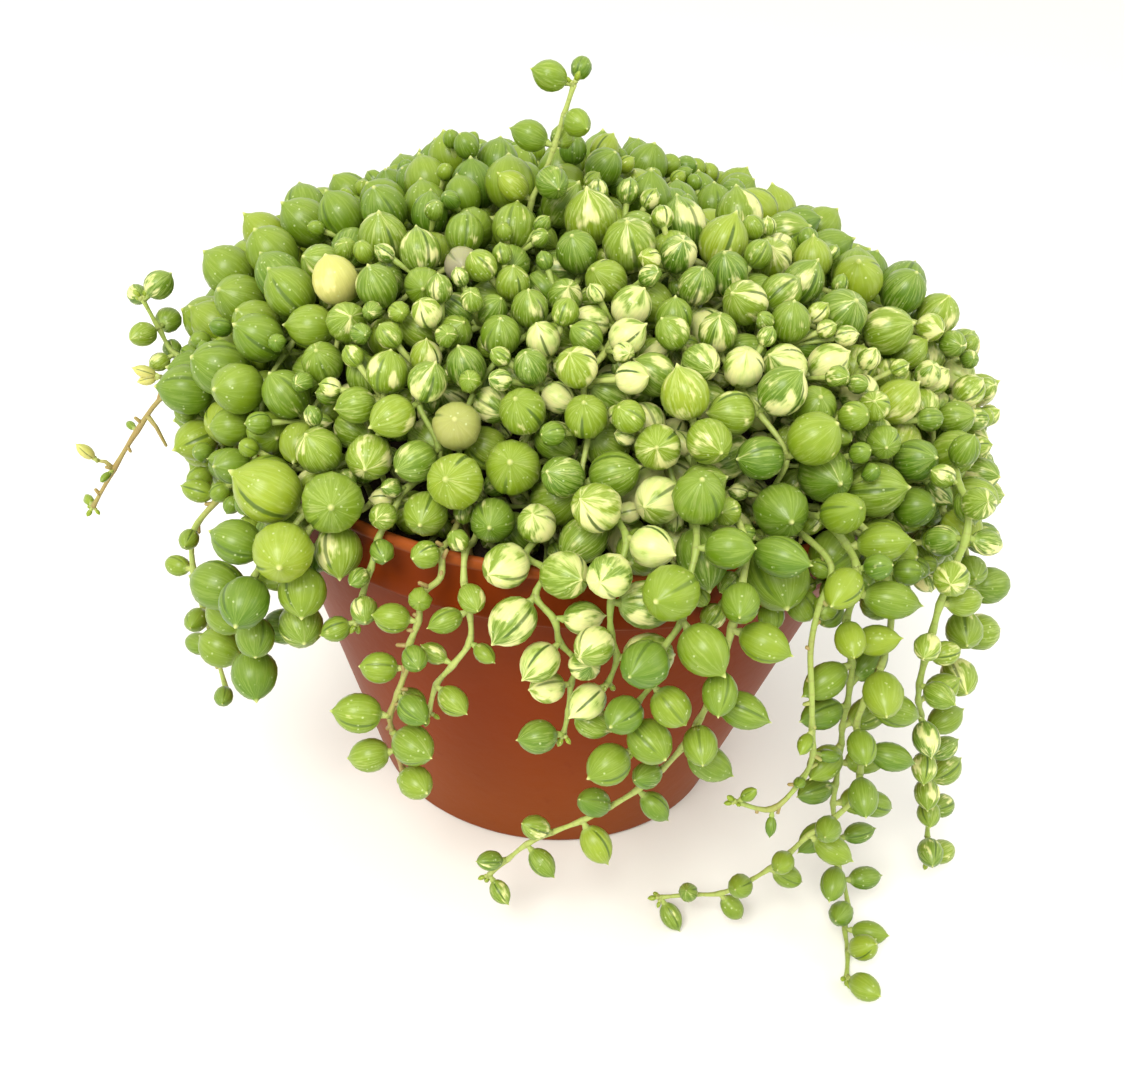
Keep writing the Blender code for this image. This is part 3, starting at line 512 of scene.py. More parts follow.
    def keep_lengths(self):
        for _ in range(2):
            along = self.points[self.first + 1] - self.points[self.first]
            size = length_of(along)
            fix = along * ((size - self.rest) / np.maximum(size, TINY) * 0.4)[:, None]
            self.points += gathered(self.first, fix, self.count)
            self.points -= gathered(self.first + 1, fix, self.count)
            stalk = self.leaves - self.points[self.leaf_at]
            size = length_of(stalk)
            fix = stalk * ((size - self.sizes - STALK) / np.maximum(size, TINY))[:, None]
            self.leaves -= fix * 0.65
            self.points += gathered(self.leaf_at, fix, self.count) * 0.3

    def keep_apart(self, pairs):
        left, right, need = pairs
        at = self.balls()
        apart = at[right] - at[left]
        gap = length_of(apart)
        short = np.maximum(need - gap, 0.0)
        push = apart * (short / np.maximum(gap, TINY) * 0.42)[:, None]
        moves = gathered(right, push, len(at)) - gathered(left, push, len(at))
        stem = self.count + self.middles
        thick = np.concatenate([np.full(stem, STEM_RADIUS + CLEARANCE), self.sizes + CLEARANCE])
        points, leaves = self.share_out(np.clip(moves + clear_of_pot(at, thick), -2.0, 2.0))
        self.points += points
        self.leaves += leaves
        start, end = self.points[self.first], self.points[self.first + 1]
        for share in (0.2, 0.4, 0.6, 0.8):
            moves = clear_of_pot(start + (end - start) * share, STEM_RADIUS + CLEARANCE)
            move = gathered(self.first, moves * (1 - share), self.count)
            self.points += 0.7 * (move + gathered(self.first + 1, moves * share, self.count))

    def fit(self):
        """Shrinks leaves and thins stems where anything is still too close."""
        sizes = self.sizes.copy()
        for row in range(len(sizes)):
            gap = length_of(self.leaves - self.leaves[row])
            gap[row] = FAR
            room = (gap - CLEARANCE) / (self.sizes + self.sizes[row])
            sizes[row] = min(sizes[row], self.sizes[row] * float(room.min()))
        start, end = self.points[self.first], self.points[self.first + 1]
        run = end - start
        run2 = np.maximum((run**2).sum(axis=1), 1e-9)
        for row in range(len(sizes)):
            share = np.clip(((self.leaves[row] - start) * run).sum(axis=1) / run2, 0.0, 1.0)
            gap = length_of(start + run * share[:, None] - self.leaves[row])
            near = self.leaf_at[row]
            gap[(self.first == near) | (self.first + 1 == near)] += 0.8
            sizes[row] = min(sizes[row], float(gap.min()) - STEM_RADIUS - CLEARANCE)
        radius = np.sqrt(self.leaves[:, 0] ** 2 + self.leaves[:, 1] ** 2)
        away, _, _ = pot_distance(radius, self.leaves[:, 2])
        sizes = np.minimum(sizes, np.minimum(away, self.leaves[:, 2]) - CLEARANCE)
        self.fitted = np.maximum(sizes, 0.6)


def stem_thickness(layout):
    """The stems' radius at each point, less where another stem passes close by."""
    thick = np.full(layout.count, STEM_RADIUS)
    starts, ends = layout.points[layout.first], layout.points[layout.first + 1]
    owner = layout.owner[layout.first]
    shares = (0.0, 0.25, 0.5, 0.75, 1.0)
    samples = [starts + (ends - starts) * share for share in shares]
    for row in range(len(layout.first)):
        other = owner != owner[row]
        closest = FAR
        for mine in samples:
            for theirs in samples:
                gap = length_of(theirs - mine[row])
                closest = min(closest, float(gap[other].min()))
        fit = max(0.25, min(STEM_RADIUS, closest * 0.5 - CLEARANCE))
        for point in (layout.first[row], layout.first[row] + 1):
            thick[point] = min(thick[point], fit)
    return thick


# The detailed leaves: grid angles round the axis from the window line, and from stalk to tip
LEAF_ANGLES = (0.0, 0.07, 0.16, 0.32, 0.62, 1.0, 1.4, 1.85, 2.35, 2.85,
               -2.85, -2.35, -1.85, -1.4, -1.0, -0.62, -0.32, -0.16, -0.07)
LEAF_PLACES = (0.06, 0.26, 0.55, 0.86, 1.18, 1.50, 1.82, 2.13, 2.42, 2.67, 2.86, 2.98, 3.06, 3.11)
SMALL_ANGLES = (0.0, 0.12, 0.5, 1.05, 1.7, 2.4, -2.4, -1.7, -1.05, -0.5, -0.12)
SMALL_PLACES = (0.08, 0.40, 0.85, 1.32, 1.80, 2.25, 2.62, 2.88, 3.02, 3.10)
SMALL_LEAF = 2.6  # leaves below this radius use the plainer grid
ROUND_WIDTH = 0.85  # leaves wider than this share of their length are round
LEAF_SLOT, STEM_SLOT = 0, 1
STALK_SIDES = 6
STEM_SIDES = 8
STEM_STEPS = 5

# Small leaves that fill the holes
FILLER_SIZES = (2.1, 3.3)
FILLER_TRIES = 7
GAP_SPOTS = 3000  # places tried in each layer of the mound
RIM_SPOTS = 500  # places tried over the rim
GAP_DEPTHS = (-0.5, 3.5, 8.0, 13.0)
GAP_LEAF = 1.75  # the smallest free radius that a leaf fills
GAP_LARGEST = 4.2
GAP_REACH = 22.0  # the furthest that such a leaf sits from its stem
SPARE_BALLS = 6000
AWAY = 1e4
BLOCK = 128

# Where leaves are marbled with cream: x, y and spread in rim radii, and how much
MARBLED = (
    (-0.42, -0.74, 0.30, 0.68),
    (-0.20, -0.70, 0.28, 0.72),
    (0.06, -0.66, 0.28, 0.74),
    (0.24, -0.80, 0.22, 1.00),
    (0.42, -0.74, 0.18, 0.90),
    (-0.50, -0.96, 0.20, 0.42),
    (-0.10, -0.95, 0.20, 0.50),
    (-0.55, -0.42, 0.26, 0.50),
    (0.10, -0.30, 0.34, 0.55),
    (0.48, -0.22, 0.30, 0.52),
    (0.30, -0.46, 0.24, 0.68),
    (0.52, -0.58, 0.14, 0.70),
    (0.70, -0.58, 0.18, 0.80),
    (0.90, -0.44, 0.20, 0.82),
    (1.08, -0.28, 0.20, 0.80),
)
LEAST_MARBLING = 0.10
TRAIL_MARBLING = {
    "trail_front": 0.62,
    "trail_front_spill": 0.95,
    "trail_front_left": 0.22,
    "trail_front_left_short": 0.35,
    "trail_far_right": 0.42,
    "trail_far_right_short": 0.40,
    "shoot_left_up": 0.45,
    "shoot_top": 0.25,
}

# How brown a stem is, for the old ones
OLD_STEMS = {
    "shoot_left_twig": 0.55,
    "trail_front_left": 0.45,
    "trail_left_thin": 0.35,
    "trail_right_tendril": 0.32,
}

# Leaves of another colour: x and y in millimetres, then the shader's number for the colour
ODD_LEAVES = ((-25.0, -30.0, 1.5), (-43.0, -34.0, 2.5), (-20.0, -62.0, 3.5))
YELLOW_LEAF = 2.5

# Short dead stubs on old bare stems, and the forks of the left twig: where along it, which way, leaves
STUB_EVERY = 3
STUB_LENGTH = 1.9
STUB_RADII = (0.50, 0.42, 0.36)
STUBS_ABOVE = 0.3  # stems browner than this have stubs
FORK_RADII = (0.62, 0.46, 0.34)
TWIG = "shoot_left_twig"
FORKS = ((0.50, (-6.5, -0.5, 0.5), 2), (0.66, (3.5, -0.5, -6.5), 0), (0.86, (-3.0, -0.5, 2.0), 1))


def marbling(strand, centre):
    """How much cream a leaf has, from 0 to 1."""
    if strand["name"] in TRAIL_MARBLING:
        return TRAIL_MARBLING[strand["name"]]
    amounts = [most * math.exp(-patch_away(centre[0], centre[1], *patch)) for *patch, most in MARBLED]
    return max(LEAST_MARBLING, *amounts)


def across_from(axis, hint):
    """Two directions square to an axis and each other, the first as close to the hint as can be."""
    first = hint - axis * float((hint * axis).sum())
    if size_of(first) < 1e-4:
        hint = np.array([hint[1], hint[2], hint[0] + 0.5])
        first = hint - axis * float((hint * axis).sum())
    first = first / size_of(first)
    return first, np.cross(axis, first)


def ring_faces(rings, sides, start, end):
    """The faces over rings of vertices, closed by one vertex at the start and one at the end."""
    faces = []
    last = (rings - 1) * sides
    for side in range(sides):
        following = (side + 1) % sides
        for low in range(0, last, sides):
            high = low + sides
            faces.append((low + side, low + following, high + following, high + side))
        faces.append((start, following, side))
        faces.append((end, last + side, last + following))
    return faces


def leaf_grid(angles, places):
    """A leaf's grid of directions and places from stalk to tip, and the faces over it."""
    count = len(angles) * len(places)
    return np.array(angles), np.array(places), ring_faces(len(places), len(angles), count, count + 1)


LARGE_GRID = leaf_grid(LEAF_ANGLES, LEAF_PLACES)
SMALL_GRID = leaf_grid(SMALL_ANGLES, SMALL_PLACES)


def new_body(name, vertices, faces, looks):
    """A smooth object in the scene, with its vertices in metres."""
    mesh = bpy.data.meshes.new(name)
    mesh.from_pydata(vertices, [], faces)
    for look in looks:
        mesh.materials.append(look)
    mesh.shade_smooth()
    body = bpy.data.objects.new(name, mesh)
    bpy.context.scene.collection.objects.link(body)
    return body


class Piece:
    """Gathers a strand's vertices, faces and what its materials read. Nothing reaches below the ground."""

    def __init__(self):
        self.vertices, self.faces, self.slots, self.bead, self.look = [], [], [], [], []
        self.count = 0

    def add(self, vertices, faces, slot, bead, look):
        self.vertices.append(vertices)
        self.faces.extend(tuple(self.count + corner for corner in face) for face in faces)
        self.slots.extend([slot] * len(faces))
        self.bead.append(bead)
        self.look.append(np.tile(look, (len(vertices), 1)))
        self.count += len(vertices)

    def finish(self, name, looks):
        vertices = np.vstack(self.vertices) * MM
        vertices[:, 2] = np.maximum(vertices[:, 2], 0.0)
        body = new_body(name, vertices.tolist(), self.faces, looks)
        body.data.polygons.foreach_set("material_index", self.slots)
        for label, rows in (("bead", self.bead), ("look", self.look)):
            layer = body.data.attributes.new(label, "FLOAT_VECTOR", "POINT")
            layer.data.foreach_set("vector", np.vstack(rows).astype(np.float32).ravel())
        return body


def near_end(distance, spread):
    """1 at an end of a leaf, falling off with the distance from it."""
    return np.exp(-((distance / spread) ** 2))


def add_leaf(piece, base, centre, radius, width, point, hint, look):
    """A fleshy leaf: round or pointed, creased along its window, with a small tip and a tapered stalk."""
    axis = centre - base
    axis = axis / size_of(axis)
    first, second = across_from(axis, hint)
    angles, places, faces = SMALL_GRID if radius < SMALL_LEAF else LARGE_GRID
    to_tip = math.pi - places
    level = -np.cos(places)
    along = level * 0.97 + point * (0.42 * near_end(to_tip, 0.50) + 0.58 * near_end(to_tip, 0.15))
    bulge = np.sin(places) ** (0.94 if width > ROUND_WIDTH else 1.12)
    bulge = bulge * (1 - 0.45 * near_end(to_tip, 0.28)) * (1 - 0.35 * near_end(places, 0.25))
    crease = 1 - 0.05 * near_end(angles, 0.10)
    lump = 1 + 0.018 * np.sin(3 * angles + 40 * look[0]) + 0.012 * np.sin(5 * angles + 90 * look[0])
    rings, bead = [], []
    for ring, place in enumerate(places):
        reach = bulge[ring] * width * radius * (crease if 0.12 < place / math.pi < 0.93 else 1.0) * lump
        around = np.outer(np.cos(angles) * reach, first) + np.outer(np.sin(angles) * reach, second)
        rings.append(centre + axis * (radius * along[ring]) + around)
        bead.append(np.stack([np.cos(angles), np.sin(angles), np.full(len(angles), level[ring])], axis=1))
    rings.append(np.array([centre - axis * radius, centre + axis * radius * (0.975 + point)]))
    bead.append(np.array([[0.0, 0.0, -1.0], [0.0, 0.0, 1.0]]))
    piece.add(np.vstack(rings), faces, LEAF_SLOT, np.vstack(bead), look)
    stalk_end = centre - axis * radius * 0.93
    middle = (base + stalk_end) * 0.5 + first * (0.12 * radius * (min(look[0], 1.0) - 0.5))
    thick = 0.30 + 0.075 * radius
    add_tube(piece, [base, middle, stalk_end], [thick * 1.25, thick * 0.9, thick * 1.35], STALK_SIDES,
             (look[0], 0.05, look[2]))


def add_tube(piece, points, radii, sides, look):
    """A round tube through these points, closed by a point at each end."""
    rings, bead = [], []
    angles = np.arange(sides) * (math.tau / sides)
    spin = np.array([0.31, 0.17, 0.94])
    gone = 0.0
    for index, point in enumerate(points):
        ahead = points[min(index + 1, len(points) - 1)] - points[max(index - 1, 0)]
        size = max(size_of(ahead), TINY)
        ahead = ahead / size
        spin, other = across_from(ahead, spin)
        around = np.outer(np.cos(angles), spin) + np.outer(np.sin(angles), other)
        rings.append(point + around * radii[index])
        gone += size * 0.5
        bead.append(np.stack([np.cos(angles), np.sin(angles), np.full(sides, gone)], axis=1))
    rings.append(np.array([points[0], points[-1] + ahead * radii[-1] * 0.8]))
    bead.append(np.array([[0.0, 0.0, 0.0], [0.0, 0.0, gone]]))
    count = len(points) * sides
    faces = ring_faces(len(points), sides, count, count + 1)
    piece.add(np.vstack(rings), faces, STEM_SLOT, np.vstack(bead), look)


def smooth_route(points):
    """A smooth curve through a strand's points, and each point's place on it."""
    route, places = [], []
    last = len(points) - 1
    for index in range(last):
        before, here = points[max(index - 1, 0)], points[index]
        there, after = points[index + 1], points[min(index + 2, last)]
        places.append(len(route))
        for step in range(STEM_STEPS):
            t = step / STEM_STEPS
            second = (2 * before - 5 * here + 4 * there - after) * t**2
            third = (3 * here - before - 3 * there + after) * t**3
            route.append(0.5 * (2 * here + (there - before) * t + second + third))
    places.append(len(route))
    route.append(points[last])
    return route, places


class Crowd:
    """Everything that takes up room, as balls, so that small leaves find free places."""

    def __init__(self, layout):
        start, end = layout.points[layout.first], layout.points[layout.first + 1]
        stems = [start + (end - start) * share for share in (0.0, 0.33, 0.66, 1.0)]
        self.at = np.vstack([layout.leaves] + stems + [np.full((SPARE_BALLS, 3), AWAY)])
        stem_sizes = np.full(len(stems) * len(start), STEM_RADIUS)
        self.size = np.concatenate([layout.fitted, stem_sizes, np.zeros(SPARE_BALLS)])
        self.used = len(self.at) - SPARE_BALLS

    def room(self, points):
        """The free radius round each point."""
        points = np.atleast_2d(points)
        best = np.full(len(points), FAR)
        at, size = self.at[:self.used], self.size[:self.used]
        for start in range(0, len(points), BLOCK):
            block = points[start:start + BLOCK]
            gap = np.sqrt(sum((block[:, None, axis] - at[None, :, axis]) ** 2 for axis in range(3))) - size
            best[start:start + BLOCK] = gap.min(axis=1)
        away, _, _ = pot_distance(np.sqrt(points[:, 0] ** 2 + points[:, 1] ** 2), points[:, 2])
        return np.minimum(np.minimum(best, away), points[:, 2])

    def take(self, point, radius):
        self.at[self.used] = point
        self.size[self.used] = radius
        self.used += 1


def surface_spots(count):
    """Evenly spread points on the mound, in layers, and then points over the rim."""
    spots = []
    for depth in GAP_DEPTHS:
        for index in range(count):
            angle = index * GOLDEN_ANGLE + depth
            polar = math.acos(max(-0.22, 1 - 1.25 * (index + 0.5) / count))
            x, y, z = on_mound(polar, angle, depth)
            size = float(swell(x, y))
            spots.append((x * size, y * size, POT_HEIGHT + (z - POT_HEIGHT) * size))
    for step in range(RIM_SPOTS):
        angle = step * GOLDEN_ANGLE
        radius = RIM_RADIUS - 5.0 + 8.0 * waver(step)
        height = POT_HEIGHT + 2.4 + 2.6 * waver(step + 0.5)
        spots.append((radius * math.cos(angle), radius * math.sin(angle), height))
    return np.array(spots)


def extra_leaves(layout):
    """Small leaves on side shoots wherever the mound's surface has a hole, and beside the stems."""
    crowd = Crowd(layout)
    extras = []
    spots = surface_spots(GAP_SPOTS)
    stems = np.where((layout.free | (layout.order == 0))[:, None], AWAY, layout.points)
    for spot in spots[crowd.room(spots) > GAP_LEAF]:
        radius = min(float(crowd.room(spot)[0]) - 0.1, GAP_LARGEST - 1.2 * waver(spot[0] * 3.1 + spot[1]))
        gap = length_of(stems - spot)
        near = int(np.argmin(gap))
        if radius >= GAP_LEAF and gap[near] < GAP_REACH:
            crowd.take(spot, radius)
            extras.append((near, spot, radius))
    for row in range(layout.count):
        if layout.free[row] and layout.home[row][2] < POT_HEIGHT - 2.0:
            continue
        for attempt in range(FILLER_TRIES):
            seed = row * 31.7 + attempt * 5.3
            turn, lift = math.tau * waver(seed), 2 * waver(seed + 0.7) - 1
            flat = math.sqrt(max(0.0, 1 - lift * lift))
            way = np.array([flat * math.cos(turn), flat * math.sin(turn), lift])
            radius = FILLER_SIZES[0] + (FILLER_SIZES[1] - FILLER_SIZES[0]) * waver(seed + 1.9)
            spot = layout.points[row] + way * (radius + STEM_RADIUS + 0.5)
            if float(crowd.room(spot)[0]) > radius * 0.97:
                crowd.take(spot, radius)
                extras.append((row, spot, radius))
    return extras


def outward(centre):
    """Up and away from the pot's axis, where a leaf's window mostly looks."""
    way = np.array([centre[0], centre[1] * 0.6 - 25.0, 60.0])
    return way / size_of(way)


def odd_leaves(layout):
    """The leaves of another colour: the highest ones near each place."""
    odd = {}
    for x, y, kind in ODD_LEAVES:
        away = (layout.leaves[:, 0] - x) ** 2 + (layout.leaves[:, 1] - y) ** 2
        odd[int(np.argmin(away - 4.0 * layout.leaves[:, 2]))] = kind
    return odd


def grow_stubs(piece, route, old, seed):
    """Dead stubs where leaves have dropped off an old stem."""
    for index in range(STUB_EVERY, len(route) - 2, STUB_EVERY):
        turn = math.tau * waver(seed + index * 1.7)
        way = np.array([math.cos(turn), 0.3 * math.sin(2 * turn), math.sin(turn)])
        end = route[index] + way * (STUB_LENGTH * (0.5 + 0.7 * waver(seed + index * 2.9)))
        points = [route[index], (route[index] + end) * 0.5, end]
        add_tube(piece, points, STUB_RADII, STALK_SIDES, (0.5, old + 0.2, 0.5))


def grow_forks(piece, route):
    """The left twig's forks, with yellow leaves at their ends."""
    for share, way, leaves in FORKS:
        start = route[int(share * (len(route) - 1))]
        end = start + np.array(way)
        middle = (start + end) * 0.5 + np.array([0.0, 0.0, 0.8])
        add_tube(piece, [start, middle, end], FORK_RADII, STEM_SIDES, (0.7, 0.5, 0.5))
        for leaf in range(leaves):
            ahead = np.array(way) + np.array([0.0, -1.0, 4.0 * (0.5 - leaf)])
            size = 2.3 - 0.4 * leaf
            centre = end + ahead / size_of(ahead) * (size + 0.9)
            up = np.array([0.0, -1.0, 0.6])
            add_leaf(piece, end, centre, size, 0.60, 0.3, up, (YELLOW_LEAF, 0.1, 0.9))


def grow_tip(piece, points, amount, seed):
    """Three bud leaves at the end of a strand."""
    ahead = points[-1] - points[-2]
    ahead = ahead / size_of(ahead)
    first, second = across_from(ahead, np.array([0.2, -0.4, 0.9]))
    for bud in range(3):
        turn = bud * 2.4 + seed
        sideways = (first * math.cos(turn) + second * math.sin(turn)) * (0.25 + 0.35 * bud)
        way = ahead * (0.9 - 0.25 * bud) + sideways
        size = 0.95 - 0.12 * bud
        centre = points[-1] + way / size_of(way) * (size + 0.8)
        if centre[2] < size:
            centre[2] = size + 0.2
        up = np.array([0.0, -0.3, 1.0])
        add_leaf(piece, points[-1], centre, size, 0.62, 0.2, up, (0.9, amount * 0.5, 0.95))


def stem_radii(which, route, places, leafy, thick):
    """The stem's radius along its smooth route: thinner to the tip and knobbly where leaves grow."""
    radii = []
    for index in range(len(route)):
        share = index / max(len(route) - 1, 1)
        nearest = min(range(len(places)), key=lambda spot: abs(places[spot] - index))
        bump = math.exp(-((places[nearest] - index) / 1.1) ** 2) if nearest in leafy else 0.0
        radius = float(thick[nearest]) * (0.84 - 0.32 * share) + 0.20 * bump
        radii.append(radius * (1 + 0.12 * (waver(which * 91 + index) - 0.5)))
    return radii


def build_strand(layout, which, extras, thick, odd, looks):
    """One detailed strand in place of its CAD node."""
    strand = layout.strands[which]
    own = np.nonzero(layout.owner == which)[0]
    points = [layout.points[index] for index in own]
    piece = Piece()
    route, places = smooth_route(points)
    rows = np.nonzero(layout.owner[layout.leaf_at] == which)[0]
    leafy = {int(layout.leaf_at[row] - own[0]) for row in rows}
    old = OLD_STEMS.get(strand["name"], 0.0 if strand["free"] else 0.25)
    radii = stem_radii(which, route, places, leafy, thick[own])
    add_tube(piece, route, radii, STEM_SIDES, (waver(which), old, which * 0.13))
    for row in rows:
        centre, radius = layout.leaves[row], float(layout.fitted[row])
        chance, other = waver(row * 3.7 + 11), waver(row * 5.1 + 3)
        width = strand["width"] * (0.93 + 0.09 * chance)
        point = 0.14 + 0.20 * other if width > ROUND_WIDTH else 0.24
        spin = np.array([waver(row + 0.3), waver(row + 0.6), waver(row + 0.9)]) - 0.5
        amount = marbling(strand, centre) * (0.42 + 0.95 * waver(row * 2.3))
        add_leaf(piece, layout.points[layout.leaf_at[row]], centre, radius * 0.985, width, point,
                 outward(centre) + spin * 3.6, (odd.get(int(row), chance), min(amount, 1.0), other))
    if old > STUBS_ABOVE:
        grow_stubs(piece, route, old, which * 17)
    if strand["name"] == TWIG:
        grow_forks(piece, route)
    for near, centre, radius in extras:
        chance, other = waver(near * 3.1 + radius), waver(near * 7.7 + centre[0])
        amount = marbling(strand, centre) * (0.55 + 0.8 * other)
        add_leaf(piece, layout.points[near], centre, radius, 0.90 + 0.08 * chance, 0.10 + 0.12 * other,
                 outward(centre), (chance, min(amount, 1.0), other))
    grow_tip(piece, points, marbling(strand, points[-1]), which)
    body = piece.finish("strand_" + strand["name"], looks)
    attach(body, "root")
    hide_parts(strand["name"])


class Value:
    """A shader node's output, which adds, subtracts and multiplies like a number."""

    def __init__(self, shader, output):
        self.shader, self.output = shader, output

    def __add__(self, other):
        return self.shader.math("ADD", self, other)

    def __sub__(self, other):
        return self.shader.math("SUBTRACT", self, other)

    def __mul__(self, other):
        return self.shader.math("MULTIPLY", self, other)

    def __abs__(self):
        return self.shader.math("ABSOLUTE", self, 0.0)


class Shader:
    """A material under construction: adds nodes and joins them."""

    def __init__(self, name):
        self.material = bpy.data.materials.new(name)
        self.material.use_nodes = True
        self.tree = self.material.node_tree
        self.tree.nodes.clear()

    def node(self, kind, settings, inputs):
        """Adds a node with its settings, and sets or joins its inputs."""
        node = self.tree.nodes.new(kind)
        for label, value in settings.items():
            setattr(node, label, value)
        for label, value in inputs.items():
            if isinstance(value, Value):
                self.tree.links.new(value.output, node.inputs[label])
            else:
                node.inputs[label].default_value = value
        return node

    def value(self, kind, settings, inputs, output=0):
        return Value(self, self.node(kind, settings, inputs).outputs[output])

    def math(self, operation, first, second, clamp=False):
        settings = {"operation": operation, "use_clamp": clamp}
        return self.value("ShaderNodeMath", settings, {0: first, 1: second})

    def between(self, value, low, high):
        """0 below low, 1 above high, and smooth between. High may be the lower one."""
        inputs = {"Value": value, "From Min": low, "From Max": high}
        return self.value("ShaderNodeMapRange", {"interpolation_type": "SMOOTHSTEP"}, inputs)

    def mix(self, share, first, second):
        """A colour between two, which are Values or red, green and blue."""
        inputs = {"Factor": share}
        for place, colour in ((6, first), (7, second)):
            inputs[place] = (*colour, 1.0) if isinstance(colour, tuple) else colour
        return self.value("ShaderNodeMix", {"data_type": "RGBA"}, inputs, 2)

    def split(self, vector):
        node = self.node("ShaderNodeSeparateXYZ", {}, {"Vector": vector})
        return [Value(self, output) for output in node.outputs]

    def parts(self, label):
        """The three numbers that the mesh holds under this label."""
        return self.split(self.value("ShaderNodeAttribute", {"attribute_name": label}, {}, "Vector"))

    def join(self, x, y, z):
        return self.value("ShaderNodeCombineXYZ", {}, {"X": x, "Y": y, "Z": z})

    def noise(self, vector, scale, detail=2.0, roughness=0.5):
        inputs = {"Vector": vector, "Scale": scale, "Detail": detail, "Roughness": roughness}
        return self.value("ShaderNodeTexNoise", {}, inputs)

    def place(self):
        return self.value("ShaderNodeTexCoord", {}, {}, "Object")

    def finish(self, colour, roughness, bump=None, bump_depth=0.0, **constants):
        """Closes the material: a principled shader with these constants, and bumps."""
        inputs = {"Base Color": colour, "Roughness": roughness, "Coat Roughness": 0.22, "IOR": 1.45}
        if bump is not None:
            inputs["Normal"] = self.value("ShaderNodeBump", {}, {"Height": bump, "Distance": bump_depth})
        shader = self.node("ShaderNodeBsdfPrincipled", {}, inputs)
        for label, value in constants.items():
            shader.inputs[CONSTANTS[label]].default_value = value
        output = self.tree.nodes.new("ShaderNodeOutputMaterial")
        self.tree.links.new(shader.outputs[0], output.inputs["Surface"])
        return self.material


CONSTANTS = {
    "subsurface": "Subsurface Weight",
    "radius": "Subsurface Radius",
    "scale": "Subsurface Scale",
    "coat": "Coat Weight",
    "ior": "IOR",
    "specular": "Specular IOR Level",
}

# Colours of the odd leaves, by their number: purple grey, yellow and olive brown
ODD_TINTS = ((1.5, (0.36, 0.28, 0.25)), (2.5, (0.68, 0.60, 0.20)), (3.5, (0.40, 0.37, 0.13)))


def leaf_noise(s, scale, stretch, detail, roughness):
    """Noise over a leaf, drawn out from stalk to tip and different on each leaf."""
    cosine, sine, along = s.parts("bead")
    chance, _, other = s.parts("look")
    apart = s.join(chance * 37.0, other * 19.0, 0.0)
    over = s.join(cosine, sine, along * stretch)
    place = s.value("ShaderNodeVectorMath", {"operation": "ADD"}, {0: apart, 1: over})
    return s.noise(place, scale, detail, roughness)


def leaf_look():
    """Waxy green leaf marbled with cream in long streaks, with a dark clear window, pale specks and painted
    top light.
    """
    s = Shader("pearl_leaf")
    cosine, sine, along = s.parts("bead")
    chance, cream, other = s.parts("look")
    place = s.place()
    mottle = s.noise(place, 420.0, 3.0)
    patch = leaf_noise(s, 1.25, 0.75, 2.0, 0.5)
    streak = leaf_noise(s, 6.5, 0.22, 3.0, 0.62)
    hairs = s.between(leaf_noise(s, 11.0, 0.08, 2.0, 0.6), 0.46, 0.66) * s.between(cream, -0.25, 0.55)
    green = s.mix(chance, (0.068, 0.155, 0.003), (0.200, 0.285, 0.010))
    green = s.mix(s.between(other, 0.84, 1.0), green, (0.27, 0.345, 0.014))
    green = s.mix(mottle * 0.40, green, (0.060, 0.132, 0.003))
    green = s.mix(hairs * 0.60, green, (0.34, 0.44, 0.10))
    window = cosine * s.between(abs(along), 1.0, 0.4)
    wash = patch * 0.74 + streak * 0.26 + window * 0.085
    limit = cream * -0.42 + 0.80
    share = s.between(wash, limit - 0.05, limit + 0.06)
    veins = s.between(streak, 0.50, 0.68) * s.math("MULTIPLY", cream, 1.0, True)
    share = s.math("MAXIMUM", share, veins * 0.70)
    pale = s.mix(s.between(patch, 0.35, 0.62), (0.50, 0.59, 0.17), (0.73, 0.70, 0.31))
    pale = s.mix(hairs * 0.35, pale, (0.42, 0.53, 0.20))
    colour = s.mix(share * 0.95, green, pale)
    for number, tint in ODD_TINTS:
        colour = s.mix(s.between(abs(chance - number), 0.4, 0.2) * 0.70, colour, tint)
    # Painted light: leaves are made paler on their upward-facing sides, as if lit from above; the waxy
    # bloom's pale tint is real, but the real leaves have it all over
    up = s.split(s.value("ShaderNodeNewGeometry", {}, {}, "Normal"))[2]
    colour = s.mix(s.between(up, -0.1, 1.0) * 0.22, colour, (0.40, 0.49, 0.09))
    slit = s.between(abs(sine), 0.12, 0.05) * s.between(cosine, 0.2, 0.6)
    slit = slit * s.between(along, -0.86, -0.6) * s.between(along, 0.92, 0.72)
    depth = s.math("ADD", other * 0.35 + 0.40, cream * 0.25, True)
    colour = s.mix(slit * depth, colour, (0.050, 0.098, 0.010))
    cells = s.value("ShaderNodeTexVoronoi", {}, {"Vector": place, "Scale": 900.0}, "Distance")
    speck = s.between(cells, 0.24, 0.10) * s.between(mottle, 0.46, 0.60)
    colour = s.mix(speck * 0.5, colour, (0.62, 0.70, 0.36))
    colour = s.mix(s.between(along, 0.984, 0.999) * 0.75, colour, (0.60, 0.61, 0.24))
    colour = s.mix(s.between(along, -0.80, -0.98) * 0.6, colour, (0.42, 0.55, 0.16))
    return s.finish(colour, mottle * 0.22 + 0.27, mottle, 0.00012, subsurface=0.15, radius=(0.8, 1.0, 0.2),
                    scale=0.002, coat=0.10, ior=1.42, specular=0.36)


